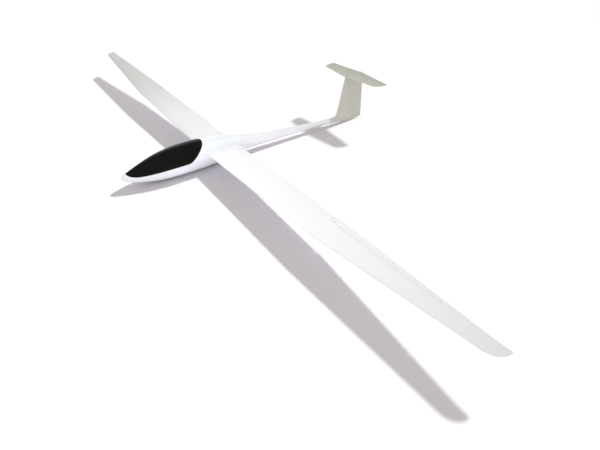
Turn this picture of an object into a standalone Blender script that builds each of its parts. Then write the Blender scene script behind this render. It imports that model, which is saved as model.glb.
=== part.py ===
"""A radio-controlled model sailplane with a T-tail, as an assembly of its real pieces.

The frame: the nose points towards -Y, the left wing towards +X and +Z is up. The ground is z = 0 and
the model is symmetric about x = 0. Places along the fuselage are given from the wing root's leading
edge, positive towards the tail; the datum empty moves them so that the model's middle is at y = 0.
Every length is in metres and every angle in degrees.
"""

import math

import bmesh
import bpy
from mathutils import Matrix, Vector

# Clearances
SEAT_GAP = 0.0003
CANOPY_GAP = 0.0005
HINGE_GAP = 0.0004
NOSE_GAP = 0.0008
END_GAP = 0.0018
WHEEL_GAP = 0.0020
ROD_SIDE_GAP = 0.0006
TRAY_EDGE_GAP = 0.0012
AXLE_GAP = 0.0002

# Fineness of the curves
FUSELAGE_SIDES = 32
RINGS_PER_STATION = 3
FOIL_STEPS = 13
SURFACE_STEPS = 4
NOSE_STEPS = 8
CORNER_STEPS = 5
SILL_STEPS = 9
LUG_STEPS = 6
TUBE_SIDES = 16
ROD_SIDES = 8
WHEEL_SIDES = 32
TRAY_STEPS = 12
SHARP_ANGLE_DEG = 35

# Fuselage moulding
NOSE_Y = -0.3325
BOOM_END_Y = 0.6800
WALL = 0.0020
CABIN_FRONT_Y = -0.3000
CABIN_REAR_Y = 0.1100

# Place along the fuselage, half width, bottom height, top height
FUSELAGE_STATIONS = (
    (NOSE_Y, 0.0030, 0.0500, 0.0560),
    (-0.3250, 0.0115, 0.0430, 0.0615),
    (-0.3000, 0.0225, 0.0295, 0.0715),
    (-0.2500, 0.0380, 0.0155, 0.0900),
    (-0.1800, 0.0530, 0.0045, 0.1105),
    (-0.1000, 0.0600, 0.0020, 0.1210),
    (-0.0400, 0.0600, 0.0020, 0.1225),
    (0.0200, 0.0550, 0.0032, 0.1190),
    (0.0800, 0.0430, 0.0075, 0.1115),
    (0.1460, 0.0300, 0.0150, 0.1000),
    (0.2500, 0.0200, 0.0218, 0.0770),
    (0.4500, 0.0145, 0.0205, 0.0550),
    (BOOM_END_Y, 0.0115, 0.0130, 0.0405),
)

# Lift-off canopy, in side view: control points of its front corner and of its curved sill, the
# corner at the sill's rear end and the slope of the rear edge
CANOPY_FRONT = ((-0.3160, 0.0720), (-0.3120, 0.0575), (-0.2700, 0.0559))
CANOPY_SILL = ((-0.2700, 0.0559), (-0.2250, 0.0556), (-0.1750, 0.0645), (-0.0950, 0.0652))
CANOPY_CORNER = (-0.0782, 0.0655)
CANOPY_CORNER_LENGTH = 0.0120
CANOPY_REAR_SLOPE_DEG = 37.5
CANOPY_RIM_WIDTH = 0.0070
CANOPY_RIM_THICKNESS = 0.0020
CANOPY_CUT_TOP_Z = 0.1400
CANOPY_CUT_HALF_WIDTH = 0.1000

# Wing
SPAN = 2.500
ROOT_FAIRING_WIDTH = 0.0040
FAIRING_INNER_X = 0.0040
WING_ROOT_Z = 0.0690
PANEL_BREAK_X = 0.6550
TIP_LENGTH = 0.0450
INNER_DIHEDRAL_DEG = 1.92
OUTER_DIHEDRAL_DEG = 3.28
ROOT_CHORD = 0.1460
BREAK_LE_Y = 0.0020
BREAK_CHORD = 0.1240
TRAILING_STEP = 0.0035
TIP_LE_Y = 0.0380
TIP_CHORD = 0.0510
TIP_TRAILING_Y = 0.0890
TIP_END_CHORD = 0.0050
TIP_RIM = (0.0, 0.30, 0.55, 0.75, 0.90, 0.97, 1.0)
WING_CAMBER = 0.018
WING_THICKNESS = 0.108
TRAILING_HALF_THICKNESS = 0.0005

# Flaps and ailerons, hinged in the upper skin with a bevelled front
FLAP_ROOT_MARGIN = 0.0160
CONTROL_BRIDGE = 0.0080
AILERON_TIP_MARGIN = 0.1370
FLAP_HINGE_SHARE = 0.780
AILERON_HINGE_SHARE = 0.755
FLAP_BEVEL_DEG = 48.0
AILERON_BEVEL_DEG = 18.0
BEVEL_ROUNDS = 8
CONTROL_ROOM = 0.0500

# Wing joiner tube and alignment pins
JOINER_Y = 0.0450
JOINER_R = 0.0040
JOINER_REACH_X = 0.2600
JOINER_BORE_PAST_ROOT = 0.0200
JOINER_END_GAP = 0.0020
PIN_Y = 0.1050
PIN_R = 0.0015
PIN_HALF_LENGTH = 0.0070
PIN_HOLE_PAST_ROOT = 0.0100

# Wing servos, their arms, the horns on the control surfaces and the rods between them
FLAP_SERVO_PAST_JOINER = 0.0600
AILERON_SERVO_PAST_BREAK = 0.1450
WING_SERVO_LENGTH = 0.0230
WING_SERVO_WIDTH = 0.0120
WING_SERVO_DEPTH = 0.0090
WING_SERVO_STAND = 0.0015
WING_SERVO_SHARE = 0.36
ARM_FROM_SERVO_MIDDLE = 0.0058
ARM_BASE = 0.0055
ARM_ROOT_DEPTH = 0.0010
LUG_THICKNESS = 0.0016
LUG_TIP_R = 0.0018
LUG_HOLE_DEPTH = 0.0072
HORN_BASE = 0.0110
HORN_BEHIND_BEVEL = 0.0015
HORN_HOLE_BEHIND_HINGE = 0.0010
ROD_R = 0.0008

# Tail piece: the sleeve that carries on the boom, then the fin
SLEEVE_END_Y = 0.8320
SLEEVE_END_BASE_Z = 0.0045
SLEEVE_END_TOP_Z = 0.0260
SLEEVE_END_HALF_WIDTH = 0.0065
SLEEVE_STEPS = 3
SLEEVE_SIDES = 24
FIN_BASE_Z = 0.0050
FIN_BASE_LE_Y = 0.7180
FIN_BASE_TE_Y = 0.8990
FIN_TOP_LE_Y = 0.7570
FIN_TOP_TE_Y = 0.8700
FIN_THICKNESS = 0.085
FIN_TOP_GAP = 0.0006

# Height on the fin and reach of its root fillet ahead of the straight leading edge
FIN_FILLET = ((0.0200, 0.0300), (0.0390, 0.0300), (0.0405, 0.0190), (0.0440, 0.0080), (0.0500, 0.0))

# Rudder, with a round nose about its hinge
RUDDER_HINGE_BASE_Y = 0.8360
RUDDER_HINGE_TOP_Y = 0.8080
RUDDER_TOP_GAP = 0.0080
RUDDER_BASE_RISE = 0.0040
RUDDER_TOP_DROP = 0.0130
RUDDER_TOP_FLAT = 0.0040
RUDDER_CUT_MARGIN = 0.0200
RUDDER_ROOM_BASE_Z = -0.0200
RUDDER_ROOM_TOP_Z = 0.2800

# Stabilizer and elevator
STAB_Z = 0.2340
STAB_HALF_SPAN = 0.1800
STAB_TIP_LENGTH = 0.0250
STAB_ROOT_LE_Y = 0.7520
STAB_ROOT_TE_Y = 0.8680
STAB_TIP_LE_Y = 0.7780
STAB_TIP_TE_Y = 0.8460
STAB_THICKNESS = 0.080
STAB_RIM = (0.0, 0.35, 0.60, 0.80, 0.93, 1.0)
STAB_SEAT_HALF_WIDTH = 0.0300
ELEVATOR_HINGE_Y = 0.8340
ELEVATOR_TIP_MARGIN = 0.0050

# Tail horns and the rudder's rod
RUDDER_HORN_Z = 0.0420
RUDDER_HORN_START = 0.0040
RUDDER_HORN_REACH = 0.0150
RUDDER_ROD_EXIT = (0.0080, 0.7000, 0.0290)
ELEVATOR_HORN_FRONT_Y = 0.8500
ELEVATOR_HORN_REAR_Y = 0.8650
ELEVATOR_HORN_HOLE_Y = 0.8635
ELEVATOR_HORN_HEIGHT = 0.0065
ELEVATOR_HORN_PLATE = 0.0010
ELEVATOR_HORN_HALF_WIDTH = 0.0040

# Tail skid
SKID_FRONT_Y = 0.7560
SKID_REAR_Y = 0.8200
SKID_FRONT_RAKE = 0.0120
SKID_REAR_RAKE = 0.0040
SKID_DEPTH = 0.0020
SKID_WIDTH = 0.0060

# Main wheel
WHEEL_Y = -0.0300
WHEEL_R = 0.0220
WHEEL_WIDTH = 0.0160
WELL_DEPTH = 0.0320
TYRE_SHOULDER = 0.0030
TYRE_CROWN_SIDE = 0.0024
TYRE_BEAD = 0.0010
HUB_R = 0.0125
HUB_WIDTH = 0.0130
HUB_BOSS = 0.0025
HUB_EDGE = 0.0015
HUB_DISH = 0.0020
HUB_FILLET = 0.0010
AXLE_R = 0.0020
AXLE_END = 0.0020
BRACKET_SIDE_GAP = 0.0030
BRACKET_THICKNESS = 0.0020
BRACKET_ROOF = 0.0012
BRACKET_ROOF_GAP = 0.0012
BRACKET_FOOT = 0.0025
BRACKET_LENGTH = 0.0200

# Equipment in the cabin
TRAY_THICKNESS = 0.0020
TRAY_FRONT_Y = -0.2750
TRAY_REAR_MARGIN = 0.0150
BATTERY_Y = -0.1750
BATTERY_SIZE = (0.0340, 0.0950, 0.0240)
BATTERY_ROUND = 0.0030
STRAP_WIDTH = 0.0160
STRAP_THICKNESS = 0.0012
RECEIVER_Y = -0.0980
RECEIVER_SIZE = (0.0260, 0.0440, 0.0140)
RECEIVER_ROUND = 0.0015
SERVO_Y = 0.0050
SERVO_X = 0.0170
SERVO_SIZE = (0.0120, 0.0230, 0.0220)
SERVO_ROUND = 0.0008
SERVO_LUG_LENGTH = 0.0048
SERVO_LUG_THICKNESS = 0.0015
SERVO_LUG_FROM_TOP = 0.0070
SPINDLE_R = 0.0025
SPINDLE_HEIGHT = 0.0030
SERVO_ARM_REACH = 0.0100
SERVO_ARM_WIDTH = 0.0050
SERVO_ARM_OVERLAP = 0.0020

# Colour, roughness, metallic value
MATERIALS = {
    "gloss white": ((0.90, 0.91, 0.93), 0.14, 0.0),
    "wing foam": ((0.86, 0.87, 0.87), 0.38, 0.0),
    "tail foam": ((0.50, 0.50, 0.44), 0.45, 0.0),
    "canopy black": ((0.010, 0.010, 0.009), 0.06, 0.0),
    "black plastic": ((0.025, 0.025, 0.027), 0.45, 0.0),
    "tyre rubber": ((0.020, 0.020, 0.020), 0.75, 0.0),
    "white nylon": ((0.75, 0.75, 0.72), 0.40, 0.0),
    "steel wire": ((0.60, 0.61, 0.63), 0.30, 1.0),
    "carbon tube": ((0.030, 0.030, 0.034), 0.35, 0.0),
    "plywood": ((0.52, 0.36, 0.20), 0.60, 0.0),
    "battery sleeve": ((0.05, 0.09, 0.22), 0.35, 0.0),
    "strap cloth": ((0.03, 0.03, 0.03), 0.85, 0.0),
}

# Worked out from the values above
HALF_SPAN = SPAN / 2
TIP_START_X = HALF_SPAN - TIP_LENGTH
POD_HALF_WIDTH = max(half_width for _, half_width, _, _ in FUSELAGE_STATIONS)
WING_ROOT_X = POD_HALF_WIDTH + ROOT_FAIRING_WIDTH
FLAP_INNER_X = WING_ROOT_X + FLAP_ROOT_MARGIN
FLAP_OUTER_X = PANEL_BREAK_X - CONTROL_BRIDGE
AILERON_INNER_X = PANEL_BREAK_X + CONTROL_BRIDGE
AILERON_OUTER_X = TIP_START_X - AILERON_TIP_MARGIN
FLAP_SERVO_X = JOINER_REACH_X + FLAP_SERVO_PAST_JOINER
AILERON_SERVO_X = PANEL_BREAK_X + AILERON_SERVO_PAST_BREAK
STAB_TIP_START_X = STAB_HALF_SPAN - STAB_TIP_LENGTH
ELEVATOR_HALF_SPAN = STAB_TIP_START_X - ELEVATOR_TIP_MARGIN
RUDDER_TOP_Z = STAB_Z - RUDDER_TOP_GAP
TREAD_RING_R = WHEEL_R / math.cos(math.pi / WHEEL_SIDES)
BRACKET_TOP_Z = WHEEL_R + TREAD_RING_R + BRACKET_ROOF_GAP + BRACKET_ROOF
TRAY_Z = BRACKET_TOP_Z + SEAT_GAP
TRAY_TOP_Z = TRAY_Z + TRAY_THICKNESS
TRAY_REAR_Y = CABIN_REAR_Y - TRAY_REAR_MARGIN
RUDDER_FOOT_SHARE = RUDDER_BASE_RISE / (STAB_Z - FIN_BASE_Z)
TAIL_Y = FIN_BASE_TE_Y + (FIN_TOP_TE_Y - FIN_BASE_TE_Y) * RUDDER_FOOT_SHARE
MIDDLE_Y = (NOSE_Y + TAIL_Y) / 2

# Control surface, inner end, outer end, hinge's share of the chord, bevel, place of its servo
WING_CONTROLS = (
    ("flap", FLAP_INNER_X, FLAP_OUTER_X, FLAP_HINGE_SHARE, FLAP_BEVEL_DEG, FLAP_SERVO_X),
    ("aileron", AILERON_INNER_X, AILERON_OUTER_X, AILERON_HINGE_SHARE, AILERON_BEVEL_DEG, AILERON_SERVO_X),
)
SIDES = ((1, "left"), (-1, "right"))


def clear_scene():
    """Removes every object of the opening scene."""
    for obj in list(bpy.data.objects):
        bpy.data.objects.remove(obj, do_unlink=True)


def material(name):
    """Returns the named material, made on its first use."""
    found = bpy.data.materials.get(name)
    if found:
        return found
    colour, roughness, metallic = MATERIALS[name]
    made = bpy.data.materials.new(name)
    made.use_nodes = True
    shader = made.node_tree.nodes["Principled BSDF"]
    shader.inputs["Base Color"].default_value = (*colour, 1.0)
    shader.inputs["Roughness"].default_value = roughness
    shader.inputs["Metallic"].default_value = metallic
    made.diffuse_color = (*colour, 1.0)
    return made


def add_object(name, bm, finish, datum, origin=(0, 0, 0)):
    """Turns a bmesh into an object under the datum, with its origin at the given place."""
    bmesh.ops.remove_doubles(bm, verts=bm.verts, dist=1e-7)
    bmesh.ops.recalc_face_normals(bm, faces=bm.faces)
    bmesh.ops.translate(bm, verts=bm.verts, vec=-Vector(origin))
    mesh = bpy.data.meshes.new(name)
    bm.to_mesh(mesh)
    bm.free()
    mesh.shade_smooth()
    mesh.set_sharp_from_angle(angle=math.radians(SHARP_ANGLE_DEG))
    obj = bpy.data.objects.new(name, mesh)
    obj.location = origin
    obj.parent = datum
    bpy.context.scene.collection.objects.link(obj)
    if finish:
        mesh.materials.append(material(finish))
    return obj


def add_cutter(name, bm, datum):
    """Adds a hidden helper solid for a Boolean."""
    cutter = add_object(name, bm, None, datum)
    cutter.hide_render = True
    cutter.display_type = "WIRE"
    return cutter


def boolean(obj, cutter, operation="DIFFERENCE"):
    """Adds an exact Boolean modifier."""
    step = obj.modifiers.new(cutter.name, "BOOLEAN")
    step.operation = operation
    step.solver = "EXACT"
    step.object = cutter


def loft(rings):
    """Skins a list of equal rings of points and closes both ends."""
    bm = bmesh.new()
    rows = [[bm.verts.new(point) for point in ring] for ring in rings]
    count = len(rows[0])
    for first, second in zip(rows, rows[1:]):
        for i in range(count):
            j = (i + 1) % count
            bm.faces.new((first[i], first[j], second[j], second[i]))
    bm.faces.new(rows[0])
    bm.faces.new(reversed(rows[-1]))
    return bm


def box(centre, size):
    """A box from its middle and its three side lengths."""
    bm = bmesh.new()
    place = Matrix.Translation(centre) @ Matrix.Diagonal((*size, 1.0))
    bmesh.ops.create_cube(bm, size=1.0, matrix=place)
    return bm


def plate_across(outline, middle_x, thickness):
    """Extrudes a side-view outline of (y, z) points to both sides of a place across the model."""
    ends = (middle_x - thickness / 2, middle_x + thickness / 2)
    return loft([[(x, y, z) for y, z in outline] for x in ends])


def tube(points, radius, sides):
    """A round bar along a chain of points, with mitred corners."""
    points = [Vector(point) for point in points]
    steps = [(after - before).normalized() for before, after in zip(points, points[1:])]
    side = steps[0].orthogonal().normalized()
    rings = []
    for point, before, after in zip(points, steps[:1] + steps, steps + steps[-1:]):
        along = (before + after).normalized()
        side = (side - along * side.dot(along)).normalized()
        other = along.cross(side)
        turns = [2 * math.pi * k / sides for k in range(sides)]
        rings.append([point + radius * (side * math.cos(a) + other * math.sin(a)) for a in turns])
    return loft(rings)


def arc(centre, radius, start_deg, end_deg, steps):
    """Points (u, v) on an arc."""
    turns = [math.radians(between(start_deg, end_deg, k / steps)) for k in range(steps + 1)]
    return [(centre[0] + radius * math.cos(a), centre[1] + radius * math.sin(a)) for a in turns]


def between(low, high, share):
    """Linear interpolation."""
    return low + (high - low) * share


def lug_outline(front, rear, hole, tip_r):
    """Side view of a lug: its two base points, then a round tip about its hole."""
    front, rear, hole = Vector(front), Vector(rear), Vector(hole)
    turn = 1 if (rear - front).cross(hole - front) > 0 else -1

    def tangent_deg(base, way):
        """Direction from the hole to where the edge from a base point meets the tip."""
        offset = base - hole
        swing = math.degrees(math.acos(tip_r / offset.length))
        return math.degrees(math.atan2(offset.y, offset.x)) + way * swing

    start = tangent_deg(rear, turn)
    sweep = ((tangent_deg(front, -turn) - start) * turn) % 360 * turn
    return [tuple(front), tuple(rear)] + arc(hole, tip_r, start, start + sweep, LUG_STEPS)


def fuselage_values(y):
    """Half width, bottom and top of the fuselage at y, on a smooth curve through the stations."""
    table = FUSELAGE_STATIONS
    last = len(table) - 1
    i = max(k for k in range(last) if table[k][0] <= y or k == 0)

    def slope(k, column):
        """A slope that never overshoots: the harmonic mean of the two neighbouring slopes."""
        if k in (0, last):
            a, b = (0, 1) if k == 0 else (last - 1, last)
            return (table[b][column] - table[a][column]) / (table[b][0] - table[a][0])
        left = (table[k][column] - table[k - 1][column]) / (table[k][0] - table[k - 1][0])
        right = (table[k + 1][column] - table[k][column]) / (table[k + 1][0] - table[k][0])
        return 2 * left * right / (left + right) if left * right > 0 else 0.0

    step = table[i + 1][0] - table[i][0]
    t = (y - table[i][0]) / step
    values = []
    for column in (1, 2, 3):
        rise = (2 * t**3 - 3 * t**2 + 1) * table[i][column] + (3 * t**2 - 2 * t**3) * table[i + 1][column]
        lean = (t**3 - 2 * t**2 + t) * slope(i, column) + (t**3 - t**2) * slope(i + 1, column)
        values.append(rise + step * lean)
    return values


def oval_ring(y, half_width, low, high, sides):
    """An upright oval ring of points at y."""
    centre, half_height = (low + high) / 2, (high - low) / 2
    turns = [2 * math.pi * k / sides for k in range(sides)]
    return [(half_width * math.cos(a), y, centre + half_height * math.sin(a)) for a in turns]


def fuselage_ring(y, inset=0.0):
    """A section of the fuselage, pulled in by the inset."""
    half_width, low, high = fuselage_values(y)
    return oval_ring(y, half_width - inset, low + inset, high - inset, FUSELAGE_SIDES)


def fuselage_solid(start, end, inset=0.0):
    """The fuselage's outer shape, or its hollow where an inset is given."""
    inner = []
    for first, second in zip(FUSELAGE_STATIONS, FUSELAGE_STATIONS[1:]):
        for k in range(RINGS_PER_STATION):
            inner.append(between(first[0], second[0], k / RINGS_PER_STATION))
    places = [start] + [y for y in inner if start + WALL < y < end - WALL] + [end]
    return loft([fuselage_ring(y, inset) for y in places])


def cabin_floor(x, y):
    """Height of the cabin's floor at a place."""
    half_width, low, high = fuselage_values(y)
    centre, half_height = (low + high) / 2, (high - low) / 2 - WALL
    return centre - half_height * math.sqrt(1 - (x / (half_width - WALL)) ** 2)


def cabin_half_width(y, z):
    """Half width of the cabin at a place along it and a height."""
    half_width, low, high = fuselage_values(y)
    centre, half_height = (low + high) / 2, (high - low) / 2 - WALL
    return (half_width - WALL) * math.sqrt(max(0.0, 1 - ((z - centre) / half_height) ** 2))


def bezier(points, share):
    """A place on the curve of a list of control points."""
    points = [Vector(point) for point in points]
    while len(points) > 1:
        points = [first.lerp(second, share) for first, second in zip(points, points[1:])]
    return points[0]


def canopy_outline(grow):
    """Side view of the canopy's volume, open upwards: front corner, sill, rear corner, rear edge."""
    lean = math.radians(CANOPY_REAR_SLOPE_DEG)
    rear_dir = Vector((math.cos(lean), math.sin(lean)))
    corner = Vector(CANOPY_CORNER)
    rear_corner = (CANOPY_SILL[-1], corner, corner + rear_dir * CANOPY_CORNER_LENGTH)
    line = [Vector((CANOPY_FRONT[0][0], CANOPY_CUT_TOP_Z))]
    curves = ((CANOPY_FRONT, CORNER_STEPS), (CANOPY_SILL, SILL_STEPS), (rear_corner, CORNER_STEPS))
    for curve, steps in curves:
        line += [bezier(curve, k / steps) for k in range(steps)]
    line.append(rear_corner[-1])
    line.append(corner + rear_dir * (CANOPY_CUT_TOP_Z - corner.y) / rear_dir.y)
    ways = [(second - first).normalized() for first, second in zip(line, line[1:])]
    outline = []
    for point, before, after in zip(line, ways[:1] + ways, ways + ways[-1:]):
        along = (before + after).normalized()
        outward = Vector((along.y, -along.x))
        outline.append(tuple(point + outward * grow / along.dot(after)))
    return outline


def canopy_volume(grow=0.0):
    """The solid that the canopy and its opening are cut with."""
    return plate_across(canopy_outline(grow), 0.0, 2 * CANOPY_CUT_HALF_WIDTH)


def foil_half_thickness(share, chord, ratio):
    """Half of a section's thickness at a share of its chord."""
    x = max(share, 0.0)
    curve = 0.2969 * math.sqrt(x) - 0.1260 * x - 0.3516 * x**2 + 0.2843 * x**3 - 0.1015 * x**4
    return 5 * ratio * curve * chord + TRAILING_HALF_THICKNESS * x


def foil_skin(share, chord, ratio, camber, side):
    """Height of the upper (side 1) or lower (side -1) skin over the chord line."""
    return 4 * camber * chord * share * (1 - share) + side * foil_half_thickness(share, chord, ratio)


def skin_points(shares, chord, ratio, camber, side):
    """Points along one skin of a section."""
    return [(share * chord, foil_skin(share, chord, ratio, camber, side)) for share in shares]


def foil_outline(chord, ratio, camber):
    """A whole section, from the upper trailing edge round to the lower one."""
    shares = [(1 - math.cos(math.pi * k / FOIL_STEPS)) / 2 for k in range(FOIL_STEPS + 1)]
    upper = skin_points(shares[::-1], chord, ratio, camber, 1)
    return upper + skin_points(shares[1:], chord, ratio, camber, -1)


def bevel_foot(chord, ratio, camber, hinge_share, bevel_deg):
    """Share of the chord where the bevel from an upper hinge line meets the lower skin."""
    top = foil_skin(hinge_share, chord, ratio, camber, 1)
    foot = hinge_share
    for _ in range(BEVEL_ROUNDS):
        depth = top - foil_skin(foot, chord, ratio, camber, -1)
        foot = hinge_share + depth * math.tan(math.radians(bevel_deg)) / chord
    return foot


def bevelled_outline(chord, ratio, camber, hinge_share, bevel_deg):
    """Section of a surface hinged in the upper skin, with a bevelled front."""
    foot = bevel_foot(chord, ratio, camber, hinge_share, bevel_deg)
    steps = [k / SURFACE_STEPS for k in range(SURFACE_STEPS + 1)]
    lower = skin_points([between(foot, 1.0, t) for t in steps], chord, ratio, camber, -1)
    upper = skin_points([between(1.0, hinge_share, t) for t in steps], chord, ratio, camber, 1)
    return lower + upper


def round_nose_outline(chord, ratio, hinge_share):
    """Section of a symmetric surface with a round nose about its hinge."""
    radius = foil_half_thickness(hinge_share, chord, ratio)
    nose = arc((hinge_share * chord, 0.0), radius, 90, 270, NOSE_STEPS)
    steps = [k / SURFACE_STEPS for k in range(1, SURFACE_STEPS + 1)]
    shares = [between(hinge_share, 1.0, t) for t in steps]
    lower = skin_points(shares, chord, ratio, 0.0, -1)
    return nose + lower + skin_points(shares[::-1], chord, ratio, 0.0, 1)


def nose_room_outline(chord, ratio, hinge_share):
    """Section of the room for a round-nosed surface."""
    radius = foil_half_thickness(hinge_share, chord, ratio) + NOSE_GAP
    centre = hinge_share * chord
    far = chord + CONTROL_ROOM
    curve = arc((centre, 0.0), radius, 90, 270, NOSE_STEPS)
    front = [(centre, CONTROL_ROOM)] + curve + [(centre, -CONTROL_ROOM)]
    return front + [(far, -CONTROL_ROOM), (far, CONTROL_ROOM)]


def wing_values(x):
    """Leading edge y, its height and the chord of the wing at a distance x from the middle."""
    inner_rise = math.tan(math.radians(INNER_DIHEDRAL_DEG))
    outer_rise = math.tan(math.radians(OUTER_DIHEDRAL_DEG))
    if x <= PANEL_BREAK_X:
        share = x / PANEL_BREAK_X
        chord = between(ROOT_CHORD, BREAK_CHORD, share)
        return between(0.0, BREAK_LE_Y, share), WING_ROOT_Z + x * inner_rise, chord
    height = WING_ROOT_Z + PANEL_BREAK_X * inner_rise + (x - PANEL_BREAK_X) * outer_rise
    share = (x - PANEL_BREAK_X) / (TIP_START_X - PANEL_BREAK_X)
    leading = between(BREAK_LE_Y, TIP_LE_Y, share)
    if x <= TIP_START_X:
        step = TRAILING_STEP * min(1.0, (x - PANEL_BREAK_X) / CONTROL_BRIDGE) * (1 - share)
        trailing = between(BREAK_LE_Y + BREAK_CHORD, TIP_LE_Y + TIP_CHORD, share) + step
        return leading, height, trailing - leading
    out = (x - TIP_START_X) / TIP_LENGTH
    trailing = between(TIP_LE_Y + TIP_CHORD, TIP_TRAILING_Y, out)
    rim = math.sqrt(max(0.0, 1 - out**2))
    chord = between(TIP_END_CHORD, trailing - leading, rim)
    return trailing - chord, height, chord


def wing_section(x, side, outline):
    """Places a section outline at a distance x from the middle, on the given side."""
    leading, height, _ = wing_values(x)
    return [(side * x, leading + u, height + v) for u, v in outline]


def wing_foil(x, side):
    """The whole wing section at x."""
    return wing_section(x, side, foil_outline(wing_values(x)[2], WING_THICKNESS, WING_CAMBER))


def wing_skin(x, share, side):
    """Place on the left wing's upper (side 1) or lower (side -1) skin."""
    leading, height, chord = wing_values(x)
    rise = foil_skin(share, chord, WING_THICKNESS, WING_CAMBER, side)
    return Vector((x, leading + share * chord, height + rise))


def wing_middle(x, y):
    """Height of the wing's mean line at a place."""
    leading, height, chord = wing_values(x)
    return height + foil_skin((y - leading) / chord, chord, 0.0, WING_CAMBER, 0)


def joiner_points(reach):
    """The joiner tube's three points, bent at the middle to the inner dihedral."""
    middle_z = wing_middle(0.0, JOINER_Y)
    end_z = middle_z + reach * math.tan(math.radians(INNER_DIHEDRAL_DEG))
    return [(reach, JOINER_Y, end_z), (0.0, JOINER_Y, middle_z), (-reach, JOINER_Y, end_z)]


def pin_points(side, start, end):
    """The line of the alignment pin between the root fairing and a wing."""
    return [(side * x, PIN_Y, wing_middle(x, PIN_Y)) for x in (start, end)]


def make_fuselage(datum):
    """The moulded pod and boom, hollow under the canopy, with its wing root fairings."""
    fuselage = add_object("fuselage", fuselage_solid(NOSE_Y, BOOM_END_Y), "gloss white", datum)
    for side, label in SIDES:
        ends = (FAIRING_INNER_X, WING_ROOT_X - SEAT_GAP)
        fairing = loft([wing_foil(x, side) for x in ends])
        boolean(fuselage, add_cutter(f"root_fairing_{label}", fairing, datum), "UNION")
    cabin = fuselage_solid(CABIN_FRONT_Y, CABIN_REAR_Y, WALL)
    boolean(fuselage, add_cutter("cabin_room", cabin, datum))
    boolean(fuselage, add_cutter("canopy_opening", canopy_volume(CANOPY_GAP), datum))
    well_width = WHEEL_WIDTH + 2 * WHEEL_GAP
    well_length = 2 * (WHEEL_R + WHEEL_GAP)
    well = box((0, WHEEL_Y, 0), (well_width, well_length, 2 * WELL_DEPTH))
    boolean(fuselage, add_cutter("wheel_well", well, datum))
    bore = tube(joiner_points(WING_ROOT_X + JOINER_BORE_PAST_ROOT), JOINER_R + SEAT_GAP, TUBE_SIDES)
    boolean(fuselage, add_cutter("joiner_bore_fuselage", bore, datum))
    for side, label in SIDES:
        ends = pin_points(side, WING_ROOT_X - PIN_HALF_LENGTH, WING_ROOT_X + PIN_HOLE_PAST_ROOT)
        hole = tube(ends, PIN_R + SEAT_GAP, ROD_SIDES)
        boolean(fuselage, add_cutter(f"pin_hole_fuselage_{label}", hole, datum))


def make_canopy(datum):
    """The lift-off canopy: the black moulding and the stiff rim bonded under its edge."""
    glass = add_object("canopy_glass", fuselage_solid(NOSE_Y, BOOM_END_Y), "canopy black", datum)
    body = add_cutter("canopy_body", canopy_volume(), datum)
    boolean(glass, body, "INTERSECT")
    boolean(glass, bpy.data.objects["cabin_room"])
    outer, inner = WALL + SEAT_GAP, WALL + SEAT_GAP + CANOPY_RIM_THICKNESS
    shape = fuselage_solid(CABIN_FRONT_Y + SEAT_GAP, CABIN_REAR_Y, outer)
    rim = add_object("canopy_frame", shape, "black plastic", datum)
    boolean(rim, body, "INTERSECT")
    room = fuselage_solid(CABIN_FRONT_Y + CANOPY_RIM_WIDTH, CABIN_REAR_Y + WALL, inner)
    boolean(rim, add_cutter("canopy_rim_room", room, datum))
    boolean(rim, add_cutter("canopy_rim_inside", canopy_volume(-CANOPY_RIM_WIDTH), datum))


def make_wing(side, label, datum):
    """One foam wing panel with its bores, and the surfaces and linkages on it."""
    places = [WING_ROOT_X, PANEL_BREAK_X, PANEL_BREAK_X + CONTROL_BRIDGE]
    places += [between(TIP_START_X, HALF_SPAN, out) for out in TIP_RIM]
    shape = loft([wing_foil(x, side) for x in places])
    wing = add_object(f"wing_{label}", shape, "wing foam", datum)
    bore = tube(joiner_points(JOINER_REACH_X + JOINER_END_GAP), JOINER_R + SEAT_GAP, TUBE_SIDES)
    boolean(wing, add_cutter(f"joiner_bore_{label}", bore, datum))
    ends = pin_points(side, WING_ROOT_X - PIN_HOLE_PAST_ROOT, WING_ROOT_X + PIN_HALF_LENGTH)
    hole = tube(ends, PIN_R + SEAT_GAP, ROD_SIDES)
    boolean(wing, add_cutter(f"pin_hole_{label}", hole, datum))
    reach = PIN_HALF_LENGTH - SEAT_GAP
    pin = tube(pin_points(side, WING_ROOT_X - reach, WING_ROOT_X + reach), PIN_R, ROD_SIDES)
    add_object(f"alignment_pin_{label}", pin, "steel wire", datum)
    for kind, inner, outer, share, bevel, servo_x in WING_CONTROLS:
        make_wing_control(wing, kind, (inner, outer), share, bevel, side, label, datum)
        make_wing_linkage(wing, kind, servo_x, share, bevel, side, label, datum)


def make_wing_control(wing, kind, ends, share, bevel, side, label, datum):
    """A flap or an aileron, and its room in the wing."""
    room = []
    for x in (ends[0] - END_GAP, ends[1] + END_GAP):
        chord = wing_values(x)[2]
        front, far = share * chord - HINGE_GAP, chord + CONTROL_ROOM
        corners = ((front, CONTROL_ROOM), (front, -CONTROL_ROOM), (far, -CONTROL_ROOM), (far, CONTROL_ROOM))
        room.append(wing_section(x, side, corners))
    boolean(wing, add_cutter(f"{kind}_room_{label}", loft(room), datum))
    sections = []
    for x in ends:
        outline = bevelled_outline(wing_values(x)[2], WING_THICKNESS, WING_CAMBER, share, bevel)
        sections.append(wing_section(x, side, outline))
    hinge = wing_skin((ends[0] + ends[1]) / 2, share, 1)
    hinge.x *= side
    add_object(f"{kind}_{label}", loft(sections), "wing foam", datum, hinge)


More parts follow.
